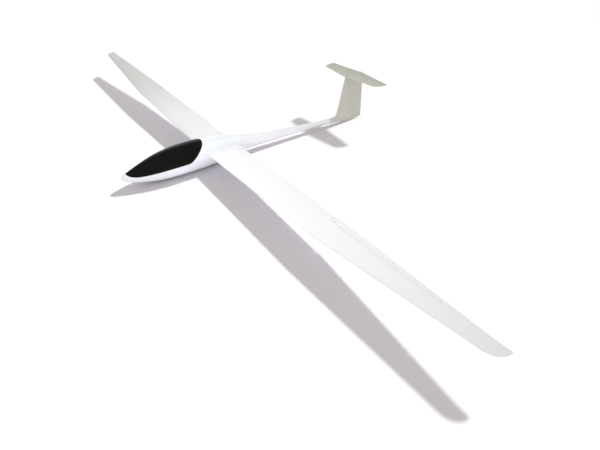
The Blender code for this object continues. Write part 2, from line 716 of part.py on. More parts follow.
def make_wing_linkage(wing, kind, x, share, bevel, side, label, datum):
    """A servo let into the wing's underside, its rod and the horn on the control surface."""
    seat = wing_skin(x, WING_SERVO_SHARE, -1)
    base_z = seat.z - WING_SERVO_STAND
    centre = Vector((side * x, seat.y, base_z + WING_SERVO_DEPTH / 2))
    size = Vector((WING_SERVO_WIDTH, WING_SERVO_LENGTH, WING_SERVO_DEPTH))
    room = box(centre, size + 2 * Vector((SEAT_GAP, SEAT_GAP, SEAT_GAP)))
    boolean(wing, add_cutter(f"{kind}_servo_room_{label}", room, datum))
    servo = add_object(f"{kind}_servo_{label}", box(centre, size), "black plastic", datum)
    arm_y = centre.y + ARM_FROM_SERVO_MIDDLE
    arm_hole = (arm_y, seat.z - LUG_HOLE_DEPTH)
    root_z = base_z + ARM_ROOT_DEPTH
    outline = lug_outline(
        (arm_y - ARM_BASE / 2, root_z), (arm_y + ARM_BASE / 2, root_z), arm_hole, LUG_TIP_R
    )
    arm = plate_across(outline, side * x, LUG_THICKNESS)
    boolean(servo, add_cutter(f"{kind}_servo_arm_{label}", arm, datum), "UNION")

    chord = wing_values(x)[2]
    foot = bevel_foot(chord, WING_THICKNESS, WING_CAMBER, share, bevel)
    front = wing_skin(x, foot + HORN_BEHIND_BEVEL / chord, -1)
    rear = wing_skin(x, foot + (HORN_BEHIND_BEVEL + HORN_BASE) / chord, -1)
    horn_hole = (
        wing_skin(x, share, 1).y + HORN_HOLE_BEHIND_HINGE,
        wing_skin(x, share, -1).z - LUG_HOLE_DEPTH,
    )
    outline = lug_outline(
        (front.y, front.z - SEAT_GAP), (rear.y, rear.z - SEAT_GAP), horn_hole, LUG_TIP_R
    )
    horn = plate_across(outline, side * x, LUG_THICKNESS)
    hinge = wing_skin(x, share, 1)
    hinge.x *= side
    add_object(f"{kind}_horn_{label}", horn, "white nylon", datum, hinge)

    rod_x = side * (x + LUG_THICKNESS / 2 + ROD_SIDE_GAP + ROD_R)
    rod = tube([(rod_x, *arm_hole), (rod_x, *horn_hole)], ROD_R, ROD_SIDES)
    add_object(f"{kind}_pushrod_{label}", rod, "steel wire", datum)


def make_joiner(datum):
    """The carbon tube that carries both wings through the fuselage."""
    joiner = tube(joiner_points(JOINER_REACH_X), JOINER_R, TUBE_SIDES)
    add_object("wing_joiner", joiner, "carbon tube", datum)


def fin_values(z):
    """Leading edge y and chord of the fin with the rudder at a height, without the fillet."""
    share = (z - FIN_BASE_Z) / (STAB_Z - FIN_BASE_Z)
    leading = between(FIN_BASE_LE_Y, FIN_TOP_LE_Y, share)
    return leading, between(FIN_BASE_TE_Y, FIN_TOP_TE_Y, share) - leading


def rudder_hinge(z):
    """Place on the rudder's hinge line at a height."""
    share = (z - FIN_BASE_Z) / (STAB_Z - FIN_BASE_Z)
    return Vector((0, between(RUDDER_HINGE_BASE_Y, RUDDER_HINGE_TOP_Y, share), z))


def fin_section(z, fillet):
    """The whole section of the fin at a height, with its nose moved forward by the fillet."""
    leading, chord = fin_values(z)
    full = chord + fillet
    outline = foil_outline(full, FIN_THICKNESS * chord / full, 0.0)
    return [(v, leading - fillet + u, z) for u, v in outline]


def rudder_section(z, shape):
    """A section of the rudder or its room at a height."""
    leading, chord = fin_values(z)
    outline = shape(chord, FIN_THICKNESS, (rudder_hinge(z).y - leading) / chord)
    return [(v, leading + u, z) for u, v in outline]


def stab_values(x):
    """Leading edge y and chord of the stabilizer with the elevator at a distance from the middle."""
    share = abs(x) / STAB_HALF_SPAN
    leading = between(STAB_ROOT_LE_Y, STAB_TIP_LE_Y, share)
    trailing = between(STAB_ROOT_TE_Y, STAB_TIP_TE_Y, share)
    out = max(0.0, abs(x) - STAB_TIP_START_X) / STAB_TIP_LENGTH
    chord = between(TIP_END_CHORD, trailing - leading, math.sqrt(max(0.0, 1 - out**2)))
    return trailing - chord, chord


def stab_foil(x, grow=0.0):
    """The whole section of the stabilizer, thickened by the growth on each side."""
    leading, chord = stab_values(x)
    outline = foil_outline(chord, STAB_THICKNESS + 2 * grow / chord, 0.0)
    return [(x, leading + u, STAB_Z + v) for u, v in outline]


def elevator_section(x, shape):
    """A section of the elevator or its room."""
    leading, chord = stab_values(x)
    outline = shape(chord, STAB_THICKNESS, (ELEVATOR_HINGE_Y - leading) / chord)
    return [(x, leading + u, STAB_Z + v) for u, v in outline]


def sleeve_values(y):
    """Half width, bottom and top of the tail sleeve at y."""
    share = (y - BOOM_END_Y) / (SLEEVE_END_Y - BOOM_END_Y)
    end = (SLEEVE_END_HALF_WIDTH, SLEEVE_END_BASE_Z, SLEEVE_END_TOP_Z)
    return [between(a, b, share) for a, b in zip(fuselage_values(BOOM_END_Y), end)]


def skid_top(grow):
    """The skid's two upper corners in side view, let into the sleeve."""
    ends = (SKID_FRONT_Y - grow, SKID_REAR_Y + grow)
    return [(y, sleeve_values(y)[1] + SKID_DEPTH + grow) for y in ends]


def make_tail_fin(datum):
    """The glued-on foam tail piece: the sleeve that carries on the boom, the fin and its fillet."""
    top_z = STAB_Z - FIN_TOP_GAP
    sections = [fin_section(z, fillet) for z, fillet in FIN_FILLET] + [fin_section(top_z, 0.0)]
    tail = add_object("tail_fin", loft(sections), "tail foam", datum)
    rings = []
    for k in range(SLEEVE_STEPS + 1):
        y = between(BOOM_END_Y + SEAT_GAP, SLEEVE_END_Y, k / SLEEVE_STEPS)
        rings.append(oval_ring(y, *sleeve_values(y), SLEEVE_SIDES))
    boolean(tail, add_cutter("tail_sleeve", loft(rings), datum), "UNION")
    front, rear = skid_top(SEAT_GAP)
    outline = (front, (front[0], -SKID_DEPTH), (rear[0], -SKID_DEPTH), rear)
    slot = plate_across(outline, 0.0, SKID_WIDTH + 2 * SEAT_GAP)
    boolean(tail, add_cutter("skid_slot", slot, datum))
    heights = (RUDDER_ROOM_BASE_Z, RUDDER_ROOM_TOP_Z)
    room = loft([rudder_section(z, nose_room_outline) for z in heights])
    boolean(tail, add_cutter("rudder_room", room, datum))
    places = (-STAB_SEAT_HALF_WIDTH, 0.0, STAB_SEAT_HALF_WIDTH)
    seat = loft([stab_foil(x, SEAT_GAP) for x in places])
    boolean(tail, add_cutter("stabilizer_seat", seat, datum))
    bore = tube(rudder_rod_points(), ROD_R + SEAT_GAP, ROD_SIDES)
    boolean(tail, add_cutter("rudder_rod_bore", bore, datum))


def make_rudder(datum):
    """The rudder, cut away at its foot and under the elevator."""
    sections = [rudder_section(z, round_nose_outline) for z in (FIN_BASE_Z, RUDDER_TOP_Z)]
    middle = rudder_hinge((FIN_BASE_Z + RUDDER_TOP_Z) / 2)
    rudder = add_object("rudder", loft(sections), "tail foam", datum, middle)
    low_y, high_y = rudder_hinge(FIN_BASE_Z).y, rudder_hinge(RUDDER_TOP_Z).y
    below_z, above_z = FIN_BASE_Z - RUDDER_CUT_MARGIN, RUDDER_TOP_Z + RUDDER_CUT_MARGIN
    under = (
        (low_y, below_z),
        (low_y, FIN_BASE_Z),
        (TAIL_Y, FIN_BASE_Z + RUDDER_BASE_RISE),
        (TAIL_Y + RUDDER_CUT_MARGIN, FIN_BASE_Z + RUDDER_BASE_RISE),
        (TAIL_Y + RUDDER_CUT_MARGIN, below_z),
    )
    over = (
        (high_y + RUDDER_TOP_FLAT, above_z),
        (high_y + RUDDER_TOP_FLAT, RUDDER_TOP_Z),
        (FIN_TOP_TE_Y, RUDDER_TOP_Z - RUDDER_TOP_DROP),
        (FIN_TOP_TE_Y + RUDDER_CUT_MARGIN, RUDDER_TOP_Z - RUDDER_TOP_DROP),
        (FIN_TOP_TE_Y + RUDDER_CUT_MARGIN, above_z),
    )
    for name, outline in (("rudder_under_cut", under), ("rudder_over_cut", over)):
        cut = plate_across(outline, 0.0, 2 * RUDDER_CUT_MARGIN)
        boolean(rudder, add_cutter(name, cut, datum))


def make_stabilizer(datum):
    """The stabilizer on top of the fin, and the one-piece elevator."""
    outer = [between(STAB_TIP_START_X, STAB_HALF_SPAN, out) for out in STAB_RIM]
    places = [-x for x in reversed(outer)] + [0.0] + outer
    stab = add_object("stabilizer", loft([stab_foil(x) for x in places]), "tail foam", datum)
    reach = ELEVATOR_HALF_SPAN + END_GAP
    room = loft([elevator_section(x, nose_room_outline) for x in (-reach, 0.0, reach)])
    boolean(stab, add_cutter("elevator_room", room, datum))
    places = (-ELEVATOR_HALF_SPAN, 0.0, ELEVATOR_HALF_SPAN)
    elevator = loft([elevator_section(x, round_nose_outline) for x in places])
    add_object("elevator", elevator, "tail foam", datum, (0, ELEVATOR_HINGE_Y, STAB_Z))


def make_tail_skid(datum):
    """The skid that the tail rests on, let into the sleeve's underside."""
    front, rear = skid_top(0.0)
    outline = (
        front,
        (SKID_FRONT_Y, front[1] - SKID_DEPTH),
        (SKID_FRONT_Y + SKID_FRONT_RAKE, 0.0),
        (SKID_REAR_Y - SKID_REAR_RAKE, 0.0),
        (SKID_REAR_Y, rear[1] - SKID_DEPTH),
        rear,
    )
    add_object("tail_skid", plate_across(outline, 0.0, SKID_WIDTH), "tail foam", datum)


def rudder_horn_axes():
    """The hinge's place at the horn, the hinge's direction and the direction straight behind it."""
    up = (rudder_hinge(RUDDER_TOP_Z) - rudder_hinge(FIN_BASE_Z)).normalized()
    return rudder_hinge(RUDDER_HORN_Z), up, Vector((0, up.z, -up.y))


def rudder_rod_points():
    """The rudder rod's two ends: where it leaves the tail piece and beside the horn's hole."""
    hinge, up, _ = rudder_horn_axes()
    x, y, z = RUDDER_ROD_EXIT
    beside = up * (LUG_THICKNESS / 2 + ROD_SIDE_GAP + ROD_R)
    return [(-x, y, z), hinge + Vector((-RUDDER_HORN_REACH, 0, 0)) + beside]


def make_rudder_linkage(datum):
    """The horn on the rudder's right side and the rod that comes out of the tail piece."""
    hinge, up, back = rudder_horn_axes()
    leading, chord = fin_values(RUDDER_HORN_Z)
    base = []
    for behind in (RUDDER_HORN_START, RUDDER_HORN_START + HORN_BASE):
        skin = foil_half_thickness((hinge.y + behind - leading) / chord, chord, FIN_THICKNESS)
        base.append((-skin - SEAT_GAP, behind))
    outline = lug_outline(base[0], base[1], (-RUDDER_HORN_REACH, 0.0), LUG_TIP_R)
    rings = []
    for lift in (-LUG_THICKNESS / 2, LUG_THICKNESS / 2):
        rings.append([hinge + Vector((x, 0, 0)) + back * behind + up * lift for x, behind in outline])
    add_object("rudder_horn", loft(rings), "white nylon", datum, hinge)
    rod = tube(rudder_rod_points(), ROD_R, ROD_SIDES)
    add_object("rudder_pushrod", rod, "steel wire", datum)


def make_elevator_horn(datum):
    """The horn that stands on top of the elevator, at its trailing edge."""
    leading, chord = stab_values(0.0)
    seat = []
    for y in (ELEVATOR_HORN_FRONT_Y, ELEVATOR_HORN_REAR_Y):
        skin = foil_half_thickness((y - leading) / chord, chord, STAB_THICKNESS)
        seat.append((y, STAB_Z + skin + SEAT_GAP))
    plate = seat + [(y, z + ELEVATOR_HORN_PLATE) for y, z in reversed(seat)]
    hinge = (0, ELEVATOR_HINGE_Y, STAB_Z)
    shape = plate_across(plate, 0.0, 2 * ELEVATOR_HORN_HALF_WIDTH)
    horn = add_object("elevator_horn", shape, "white nylon", datum, hinge)
    hole = (ELEVATOR_HORN_HOLE_Y, STAB_Z + ELEVATOR_HORN_HEIGHT)
    middle = [(y, z + ELEVATOR_HORN_PLATE / 2) for y, z in seat]
    lug = plate_across(lug_outline(middle[0], middle[1], hole, LUG_TIP_R), 0.0, LUG_THICKNESS)
    boolean(horn, add_cutter("elevator_horn_lug", lug, datum), "UNION")


def turned(profile, centre):
    """Spins a closed (across, radius) outline about an axle through the centre."""
    bm = bmesh.new()
    rows = []
    for k in range(WHEEL_SIDES):
        a = 2 * math.pi * (k + 0.5) / WHEEL_SIDES
        spots = [(x, centre.y + r * math.cos(a), centre.z + r * math.sin(a)) for x, r in profile]
        rows.append([bm.verts.new(spot) for spot in spots])
    count = len(profile)
    for first, second in zip(rows, rows[1:] + rows[:1]):
        for i in range(count):
            j = (i + 1) % count
            bm.faces.new((first[i], first[j], second[j], second[i]))
    return bm


def mirrored_profile(right):
    """A closed wheel profile from its right half, listed from the tread or rim inwards."""
    return right + [(-x, r) for x, r in reversed(right)]


def make_wheel(datum):
    """The half-sunk main wheel: tyre, hub and axle."""
    centre = Vector((0, WHEEL_Y, WHEEL_R))
    half, hub_half = WHEEL_WIDTH / 2, HUB_WIDTH / 2
    rim = HUB_R + SEAT_GAP
    tyre = [
        (half - TYRE_CROWN_SIDE, TREAD_RING_R),
        (half, TREAD_RING_R - TYRE_SHOULDER),
        (half, rim + TYRE_SHOULDER),
        (half - TYRE_BEAD, rim),
    ]
    add_object("wheel_tyre", turned(mirrored_profile(tyre), centre), "tyre rubber", datum, centre)
    bore = AXLE_R + AXLE_GAP
    hub = [
        (hub_half, HUB_R),
        (hub_half, HUB_R - HUB_EDGE),
        (hub_half - HUB_DISH, HUB_R - 2 * HUB_EDGE),
        (hub_half - HUB_DISH, bore + HUB_BOSS + HUB_FILLET),
        (hub_half, bore + HUB_BOSS),
        (hub_half, bore),
    ]
    add_object("wheel_hub", turned(mirrored_profile(hub), centre), "white nylon", datum, centre)
    end_x = half + BRACKET_SIDE_GAP + BRACKET_THICKNESS + AXLE_END
    axle = tube([(-end_x, WHEEL_Y, WHEEL_R), (end_x, WHEEL_Y, WHEEL_R)], AXLE_R, TUBE_SIDES)
    add_object("wheel_axle", axle, "steel wire", datum, centre)


def make_wheel_bracket(datum):
    """The bent bracket on the cabin floor that carries the axle and holds up the tray."""
    inner = WHEEL_WIDTH / 2 + BRACKET_SIDE_GAP
    outer = inner + BRACKET_THICKNESS
    foot = outer + BRACKET_FOOT
    ends = (WHEEL_Y - BRACKET_LENGTH / 2, WHEEL_Y + BRACKET_LENGTH / 2)
    floor_z = max(cabin_floor(foot, y) for y in ends) + SEAT_GAP
    right = [
        (inner, BRACKET_TOP_Z - BRACKET_ROOF),
        (inner, floor_z),
        (foot, floor_z),
        (foot, floor_z + BRACKET_THICKNESS),
        (outer, floor_z + BRACKET_THICKNESS),
        (outer, BRACKET_TOP_Z),
    ]
    outline = right + [(-x, z) for x, z in reversed(right)]
    shape = loft([[(x, y, z) for x, z in outline] for y in ends])
    bracket = add_object("wheel_bracket", shape, "black plastic", datum)
    past = foot + AXLE_END
    holes = tube([(-past, WHEEL_Y, WHEEL_R), (past, WHEEL_Y, WHEEL_R)], AXLE_R + AXLE_GAP, TUBE_SIDES)
    boolean(bracket, add_cutter("axle_holes", holes, datum))


def make_tray(datum):
    """The plywood tray, with slots for the battery strap and holes for the two servos."""
    left = []
    for k in range(TRAY_STEPS + 1):
        y = between(TRAY_FRONT_Y, TRAY_REAR_Y, k / TRAY_STEPS)
        left.append((cabin_half_width(y, TRAY_Z) - TRAY_EDGE_GAP, y))
    outline = left + [(-x, y) for x, y in reversed(left)]
    shape = loft([[(x, y, z) for x, y in outline] for z in (TRAY_Z, TRAY_TOP_Z)])
    tray = add_object("equipment_tray", shape, "plywood", datum)
    through = 3 * TRAY_THICKNESS
    middle_z = TRAY_Z + TRAY_THICKNESS / 2
    for side, label in SIDES:
        slot_x = BATTERY_SIZE[0] / 2 + SEAT_GAP + STRAP_THICKNESS / 2
        size = (STRAP_THICKNESS + 2 * SEAT_GAP, STRAP_WIDTH + 2 * SEAT_GAP, through)
        slot = box((side * slot_x, BATTERY_Y, middle_z), size)
        boolean(tray, add_cutter(f"strap_slot_{label}", slot, datum))
        size = (SERVO_SIZE[0] + 2 * SEAT_GAP, SERVO_SIZE[1] + 2 * SEAT_GAP, through)
        hole = box((side * SERVO_X, SERVO_Y, middle_z), size)
        boolean(tray, add_cutter(f"servo_hole_{label}", hole, datum))


def round_edges(obj, width):
    """Rounds the edges of a moulded case."""
    edge = obj.modifiers.new("rounded_edges", "BEVEL")
    edge.width = width
    edge.segments = 2


def make_battery(datum):
    """The battery on the tray and the strap that goes round both."""
    wide, _, high = BATTERY_SIZE
    base_z = TRAY_TOP_Z + SEAT_GAP
    middle = (0, BATTERY_Y, base_z + high / 2)
    battery = add_object("battery", box(middle, BATTERY_SIZE), "battery sleeve", datum)
    round_edges(battery, BATTERY_ROUND)
    inner_x, low, top = wide / 2 + SEAT_GAP, TRAY_Z - SEAT_GAP, base_z + high + SEAT_GAP
    middle = (0, BATTERY_Y, (low + top) / 2)
    size = Vector((2 * inner_x, STRAP_WIDTH, top - low))
    thick = 2 * STRAP_THICKNESS
    shape = box(middle, size + Vector((thick, 0, thick)))
    strap = add_object("battery_strap", shape, "strap cloth", datum)
    inside = box(middle, size + Vector((0, STRAP_WIDTH, 0)))
    boolean(strap, add_cutter("strap_inside", inside, datum))


def make_receiver(datum):
    """The receiver, stuck on the tray behind the battery."""
    middle = (0, RECEIVER_Y, TRAY_TOP_Z + SEAT_GAP + RECEIVER_SIZE[2] / 2)
    receiver = add_object("receiver", box(middle, RECEIVER_SIZE), "black plastic", datum)
    round_edges(receiver, RECEIVER_ROUND)


def make_tray_servos(datum):
    """The rudder and elevator servos, hung in the tray by their lugs."""
    wide, long, high = SERVO_SIZE
    lug_z = TRAY_TOP_Z + SEAT_GAP + SERVO_LUG_THICKNESS / 2
    top_z = lug_z + SERVO_LUG_THICKNESS / 2 + SERVO_LUG_FROM_TOP
    arm_z = top_z + SPINDLE_HEIGHT
    for side, label in ((1, "rudder"), (-1, "elevator")):
        x = side * SERVO_X
        shape = box((x, SERVO_Y, top_z - high / 2), SERVO_SIZE)
        servo = add_object(f"{label}_servo", shape, "black plastic", datum)
        round_edges(servo, SERVO_ROUND)
        lugs = box((x, SERVO_Y, lug_z), (wide, long + 2 * SERVO_LUG_LENGTH, SERVO_LUG_THICKNESS))
        spindle = tube([(x, SERVO_Y, top_z - SPINDLE_HEIGHT), (x, SERVO_Y, arm_z)], SPINDLE_R, TUBE_SIDES)
        arm_x = side * (SERVO_X + SERVO_ARM_OVERLAP - SERVO_ARM_REACH / 2)
        arm = box((arm_x, SERVO_Y, arm_z), (SERVO_ARM_REACH, SERVO_ARM_WIDTH, LUG_THICKNESS))
        for name, part in (("lugs", lugs), ("spindle", spindle), ("arm", arm)):
            boolean(servo, add_cutter(f"{label}_servo_{name}", part, datum), "UNION")


def main():
    """Builds the sailplane."""
    clear_scene()
    datum = bpy.data.objects.new("datum", None)
    datum.location = (0, -MIDDLE_Y, 0)
    bpy.context.scene.collection.objects.link(datum)
    make_fuselage(datum)
    make_canopy(datum)
    for side, label in SIDES:
        make_wing(side, label, datum)
    make_joiner(datum)
    make_tail_fin(datum)
    make_rudder(datum)
    make_stabilizer(datum)
    make_tail_skid(datum)
    make_rudder_linkage(datum)
    make_elevator_horn(datum)
    make_wheel(datum)
    make_wheel_bracket(datum)
    make_tray(datum)
    make_battery(datum)
    make_receiver(datum)
    make_tray_servos(datum)


main()
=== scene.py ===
"""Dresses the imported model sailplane: smooth mouldings, foam panels, linkages and the cabin's gear.

Shapes are made in the maker's own axes, whose origin is on the ground under the wing root's leading
edge and whose y points towards the tail. The bench then moves them into the frame, whose origin is
on the ground under the middle of the model. Lengths are in metres and angles in degrees.
"""

from __future__ import annotations

import logging
import math
from dataclasses import dataclass, field
from enum import Enum
from typing import Iterable, Sequence

import bmesh
import bpy
from mathutils import Matrix, Vector
from mathutils.bvhtree import BVHTree


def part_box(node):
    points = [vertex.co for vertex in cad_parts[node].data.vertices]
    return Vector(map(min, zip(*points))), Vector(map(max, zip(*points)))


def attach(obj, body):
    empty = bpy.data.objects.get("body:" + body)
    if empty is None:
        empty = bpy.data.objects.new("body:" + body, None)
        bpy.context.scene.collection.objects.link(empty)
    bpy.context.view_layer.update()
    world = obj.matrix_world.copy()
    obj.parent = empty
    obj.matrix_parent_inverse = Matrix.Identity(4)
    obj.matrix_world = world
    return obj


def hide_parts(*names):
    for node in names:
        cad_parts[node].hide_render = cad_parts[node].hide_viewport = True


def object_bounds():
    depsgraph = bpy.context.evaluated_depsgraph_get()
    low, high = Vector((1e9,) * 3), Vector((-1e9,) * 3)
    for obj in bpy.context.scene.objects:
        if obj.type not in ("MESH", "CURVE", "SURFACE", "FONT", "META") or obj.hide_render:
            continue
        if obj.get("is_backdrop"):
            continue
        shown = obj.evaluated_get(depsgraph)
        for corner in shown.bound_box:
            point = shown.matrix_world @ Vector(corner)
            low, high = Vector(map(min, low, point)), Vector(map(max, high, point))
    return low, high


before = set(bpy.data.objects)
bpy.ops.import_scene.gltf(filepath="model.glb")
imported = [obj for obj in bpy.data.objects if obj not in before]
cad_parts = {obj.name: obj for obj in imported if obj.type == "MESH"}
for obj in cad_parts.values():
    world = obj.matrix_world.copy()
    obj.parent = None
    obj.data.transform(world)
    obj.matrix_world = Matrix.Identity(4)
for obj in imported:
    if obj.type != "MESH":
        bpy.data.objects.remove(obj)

LOG = logging.getLogger("sailplane")

Colour = tuple[float, float, float]
Outline = list[tuple[float, float]]
Ring = list[Vector]


class Side(Enum):
    """The model's two sides, with the sign of their x."""

    LEFT = 1
    RIGHT = -1

    @property
    def word(self) -> str:
        """The side's name as the nodes carry it."""
        return self.name.lower()


class Face(Enum):
    """The two skins of a wing section, with the sign of their thickness."""

    UPPER = 1
    LOWER = -1


class Cut(Enum):
    """What one solid does to another."""

    AWAY = "DIFFERENCE"
    TOGETHER = "UNION"
    SHARED = "INTERSECT"


class Carrier(Enum):
    """The frame's bodies that the pieces ride on."""

    AIRFRAME = "airframe"
    CANOPY = "canopy"
    RUDDER = "rudder"
    ELEVATOR = "elevator"
    WHEEL = "main_wheel"
    FLAP_LEFT = "flap_left"
    FLAP_RIGHT = "flap_right"
    AILERON_LEFT = "aileron_left"
    AILERON_RIGHT = "aileron_right"


@dataclass(frozen=True)
class Gaps:
    """Clearances between pieces that meet."""

    seat: float = 0.0003
    canopy: float = 0.0005
    hinge: float = 0.0004
    nose: float = 0.0008
    end: float = 0.0018
    wheel: float = 0.0020
    rod_side: float = 0.0006
    axle: float = 0.0002


@dataclass(frozen=True)
class Creases:
    """Least angles of the edges that stay sharp."""

    moulding: float = 30.0
    usual: float = 35.0
    panel: float = 40.0
    tyre: float = 50.0
    tube: float = 60.0
    cloth: float = 70.0


@dataclass(frozen=True)
class Fittings:
    """Sizes that the horns, servo arms and rods share."""

    lug_thickness: float = 0.0016
    lug_edge: float = 0.0003
    tip_radius: float = 0.0018
    rounding: float = 0.0002
    base_width: float = 0.0080
    base_thickness: float = 0.0008
    rod_radius: float = 0.0008
    barrel_radius: float = 0.0011
    barrel_length: float = 0.0075
    sides: int = 16


GAPS = Gaps()
CREASES = Creases()
FITTINGS = Fittings()

UP, DOWN = (0.0, 0.0, 1.0), (0.0, 0.0, -1.0)

# A screw head's profile from the floor of its recess: radius and height, in shares of its radius
SCREW_PROFILE = (
    (0.0, 0.22), (0.38, 0.22), (0.42, 0.55), (0.75, 0.484), (0.95, 0.275), (1.0, 0.0), (0.0, 0.0),
)

# A rod barrel's profile: radius and height in shares of its radius, height in shares of its length
BARREL_PROFILE = (
    (0.0, -0.5, 0.0), (0.7, -0.4, 0.0), (1.0, 0.0, 0.0), (1.0, 0.0, 0.12), (0.82, 0.0, 0.168),
    (0.82, 0.0, 0.75), (1.0, 0.0, 0.8), (1.0, 0.0, 0.95), (0.6, 0.0, 1.0), (0.0, 0.0, 1.0),
)


def between(low: float, high: float, share: float) -> float:
    """Linear interpolation."""
    return low + (high - low) * share


def steps(low: float, high: float, count: int) -> list[float]:
    """Evenly spaced values, both ends included."""
    return [between(low, high, k / count) for k in range(count + 1)]


def eased(count: int) -> list[float]:
    """Shares from 0 to 1 that lie close together at both ends."""
    return [(1 - math.cos(math.pi * k / count)) / 2 for k in range(count + 1)]


def whole_turn(count: int) -> list[float]:
    """Evenly spaced angles round a circle, in radians."""
    return [2 * math.pi * k / count for k in range(count)]


def bezier(points: Sequence[Sequence[float]], share: float) -> Vector:
    """A place on the curve of a list of control points.

    Args:
        points: The control points.
        share: How far along the curve, from 0 to 1.

    Returns:
        The place.
    """
    chain = [Vector(point) for point in points]
    while len(chain) > 1:
        chain = [first.lerp(second, share) for first, second in zip(chain, chain[1:])]
    return chain[0]


def arc(centre: Sequence[float], radius: float, start: float, end: float, count: int) -> Outline:
    """Points on an arc.

    Args:
        centre: The arc's centre in its plane.
        radius: Its radius.
        start: Its first angle.
        end: Its last angle.
        count: The number of steps.

    Returns:
        The points from start to end.
    """
    turns = [math.radians(turn) for turn in steps(start, end, count)]
    return [(centre[0] + radius * math.cos(a), centre[1] + radius * math.sin(a)) for a in turns]


def through(table: Sequence[Sequence[float]], at: float) -> list[float]:
    """A smooth curve through a table that never overshoots its values.

    Args:
        table: Rows of a place and the values there, in order of place.
        at: The place that is asked for.

    Returns:
        The values at that place.
    """
    last = len(table) - 1
    i = max(k for k in range(last) if table[k][0] <= at or k == 0)

    def slope(k: int, column: int) -> float:
        """Harmonic mean of the slopes on both sides of a row."""
        if k in (0, last):
            a, b = (0, 1) if k == 0 else (last - 1, last)
            return (table[b][column] - table[a][column]) / (table[b][0] - table[a][0])
        left = (table[k][column] - table[k - 1][column]) / (table[k][0] - table[k - 1][0])
        right = (table[k + 1][column] - table[k][column]) / (table[k + 1][0] - table[k][0])
        return 2 * left * right / (left + right) if left * right > 0 else 0.0

    step = table[i + 1][0] - table[i][0]
    t = (at - table[i][0]) / step
    values = []
    for column in range(1, len(table[0])):
        rise = (2 * t**3 - 3 * t**2 + 1) * table[i][column] + (3 * t**2 - 2 * t**3) * table[i + 1][column]
        lean = (t**3 - 2 * t**2 + t) * slope(i, column) + (t**3 - t**2) * slope(i + 1, column)
        values.append(rise + step * lean)
    return values


def lace(
    bm: bmesh.types.BMesh, rows: Sequence[Sequence[bmesh.types.BMVert]], closed: bool, ring: bool
) -> None:
    """Joins equal rows of vertices with four-sided faces.

    Args:
        bm: The mesh that holds the vertices.
        rows: The rows in order.
        closed: Whether each row's last vertex is joined to its first.
        ring: Whether the last row is joined to the first.
    """
    count = len(rows[0])
    for first, second in zip(rows, [*rows[1:], *(rows[:1] if ring else ())]):
        for i in range(count if closed else count - 1):
            j = (i + 1) % count
            bm.faces.new((first[i], first[j], second[j], second[i]))


def skin(rings: Sequence[Sequence[Sequence[float]]]) -> bmesh.types.BMesh:
    """Joins equal rings of points into one closed body.

    Args:
        rings: The rings in order; the first and last are closed with a face.

    Returns:
        The body.
    """
    bm = bmesh.new()
    rows = [[bm.verts.new(point) for point in ring] for ring in rings]
    lace(bm, rows, closed=True, ring=False)
    bm.faces.new(rows[0])
    bm.faces.new(reversed(rows[-1]))
    bmesh.ops.recalc_face_normals(bm, faces=bm.faces)
    return bm


def oval_ring(y: float, half_width: float, middle: float, half_height: float, count: int) -> Ring:
    """Points on an upright oval across the model.

    Args:
        y: The place along the model.
        half_width: The oval's half width.
        middle: The height of its middle.
        half_height: Its half height.
        count: The number of points.

    Returns:
        The points.
    """
    turns = whole_turn(count)
    return [Vector((half_width * math.cos(a), y, middle + half_height * math.sin(a))) for a in turns]


def plate(outline: Outline, middle: float, thickness: float, soften: float = 0.0) -> bmesh.types.BMesh:
    """A plate across the model from its side view.

    Args:
        outline: Its (y, z) points.
        middle: The x of its middle.
        thickness: Its thickness along x.
        soften: The radius that its rims are rounded to.

    Returns:
        The plate.
    """
    ends = (middle - thickness / 2, middle + thickness / 2)
    bm = skin([[(x, y, z) for y, z in outline] for x in ends])
    if soften:
        rims = [e for e in bm.edges if abs(e.verts[0].co.x - e.verts[1].co.x) < soften / 10]
        bmesh.ops.bevel(bm, geom=rims, offset=soften, segments=2, profile=0.5, affect="EDGES")
    return bm


def block(
    centre: Sequence[float], size: Sequence[float], soften: float = 0.0, segments: int = 3
) -> bmesh.types.BMesh:
    """A box with rounded edges.

    Args:
        centre: Its middle.
        size: Its three side lengths.
        soften: The radius of its edges.
        segments: The number of steps round each edge.

    Returns:
        The box.
    """
    bm = bmesh.new()
    place = Matrix.Translation(centre) @ Matrix.Diagonal((*size, 1.0))
    bmesh.ops.create_cube(bm, size=1.0, matrix=place)
    if soften:
        bmesh.ops.bevel(
            bm, geom=list(bm.edges), offset=soften, segments=segments, profile=0.5, affect="EDGES"
        )
    return bm


def bar(points: Iterable[Sequence[float]], radius: float, sides: int) -> bmesh.types.BMesh:
    """A round bar along a chain of points.

    Args:
        points: The chain.
        radius: The bar's radius.
        sides: The number of flats round it.

    Returns:
        The bar.
    """
    chain = [Vector(point) for point in points]
    ways = [(after - before).normalized() for before, after in zip(chain, chain[1:])]
    side = ways[0].orthogonal().normalized()
    rings = []
    for point, before, after in zip(chain, ways[:1] + ways, ways + ways[-1:]):
        along = (before + after).normalized()
        side = (side - along * side.dot(along)).normalized()
        other = along.cross(side)
        turns = whole_turn(sides)
        rings.append([point + radius * (side * math.cos(a) + other * math.sin(a)) for a in turns])
    return skin(rings)


def rounded_chain(points: Sequence[Sequence[float]], radius: float, count: int = 5) -> list[Vector]:
    """A chain of points with its corners rounded.

    Args:
        points: The sharp chain.
        radius: How far from each corner the curve starts and ends.
        count: The number of steps in each corner.

    Returns:
        The rounded chain.
    """
    chain = [Vector(point) for point in points]
    rounded = [chain[0]]
    for before, corner, after in zip(chain, chain[1:], chain[2:]):
        start = corner + (before - corner).normalized() * radius
        end = corner + (after - corner).normalized() * radius
        rounded += [bezier((start, corner, end), share) for share in steps(0.0, 1.0, count)]
    return rounded + [chain[-1]]


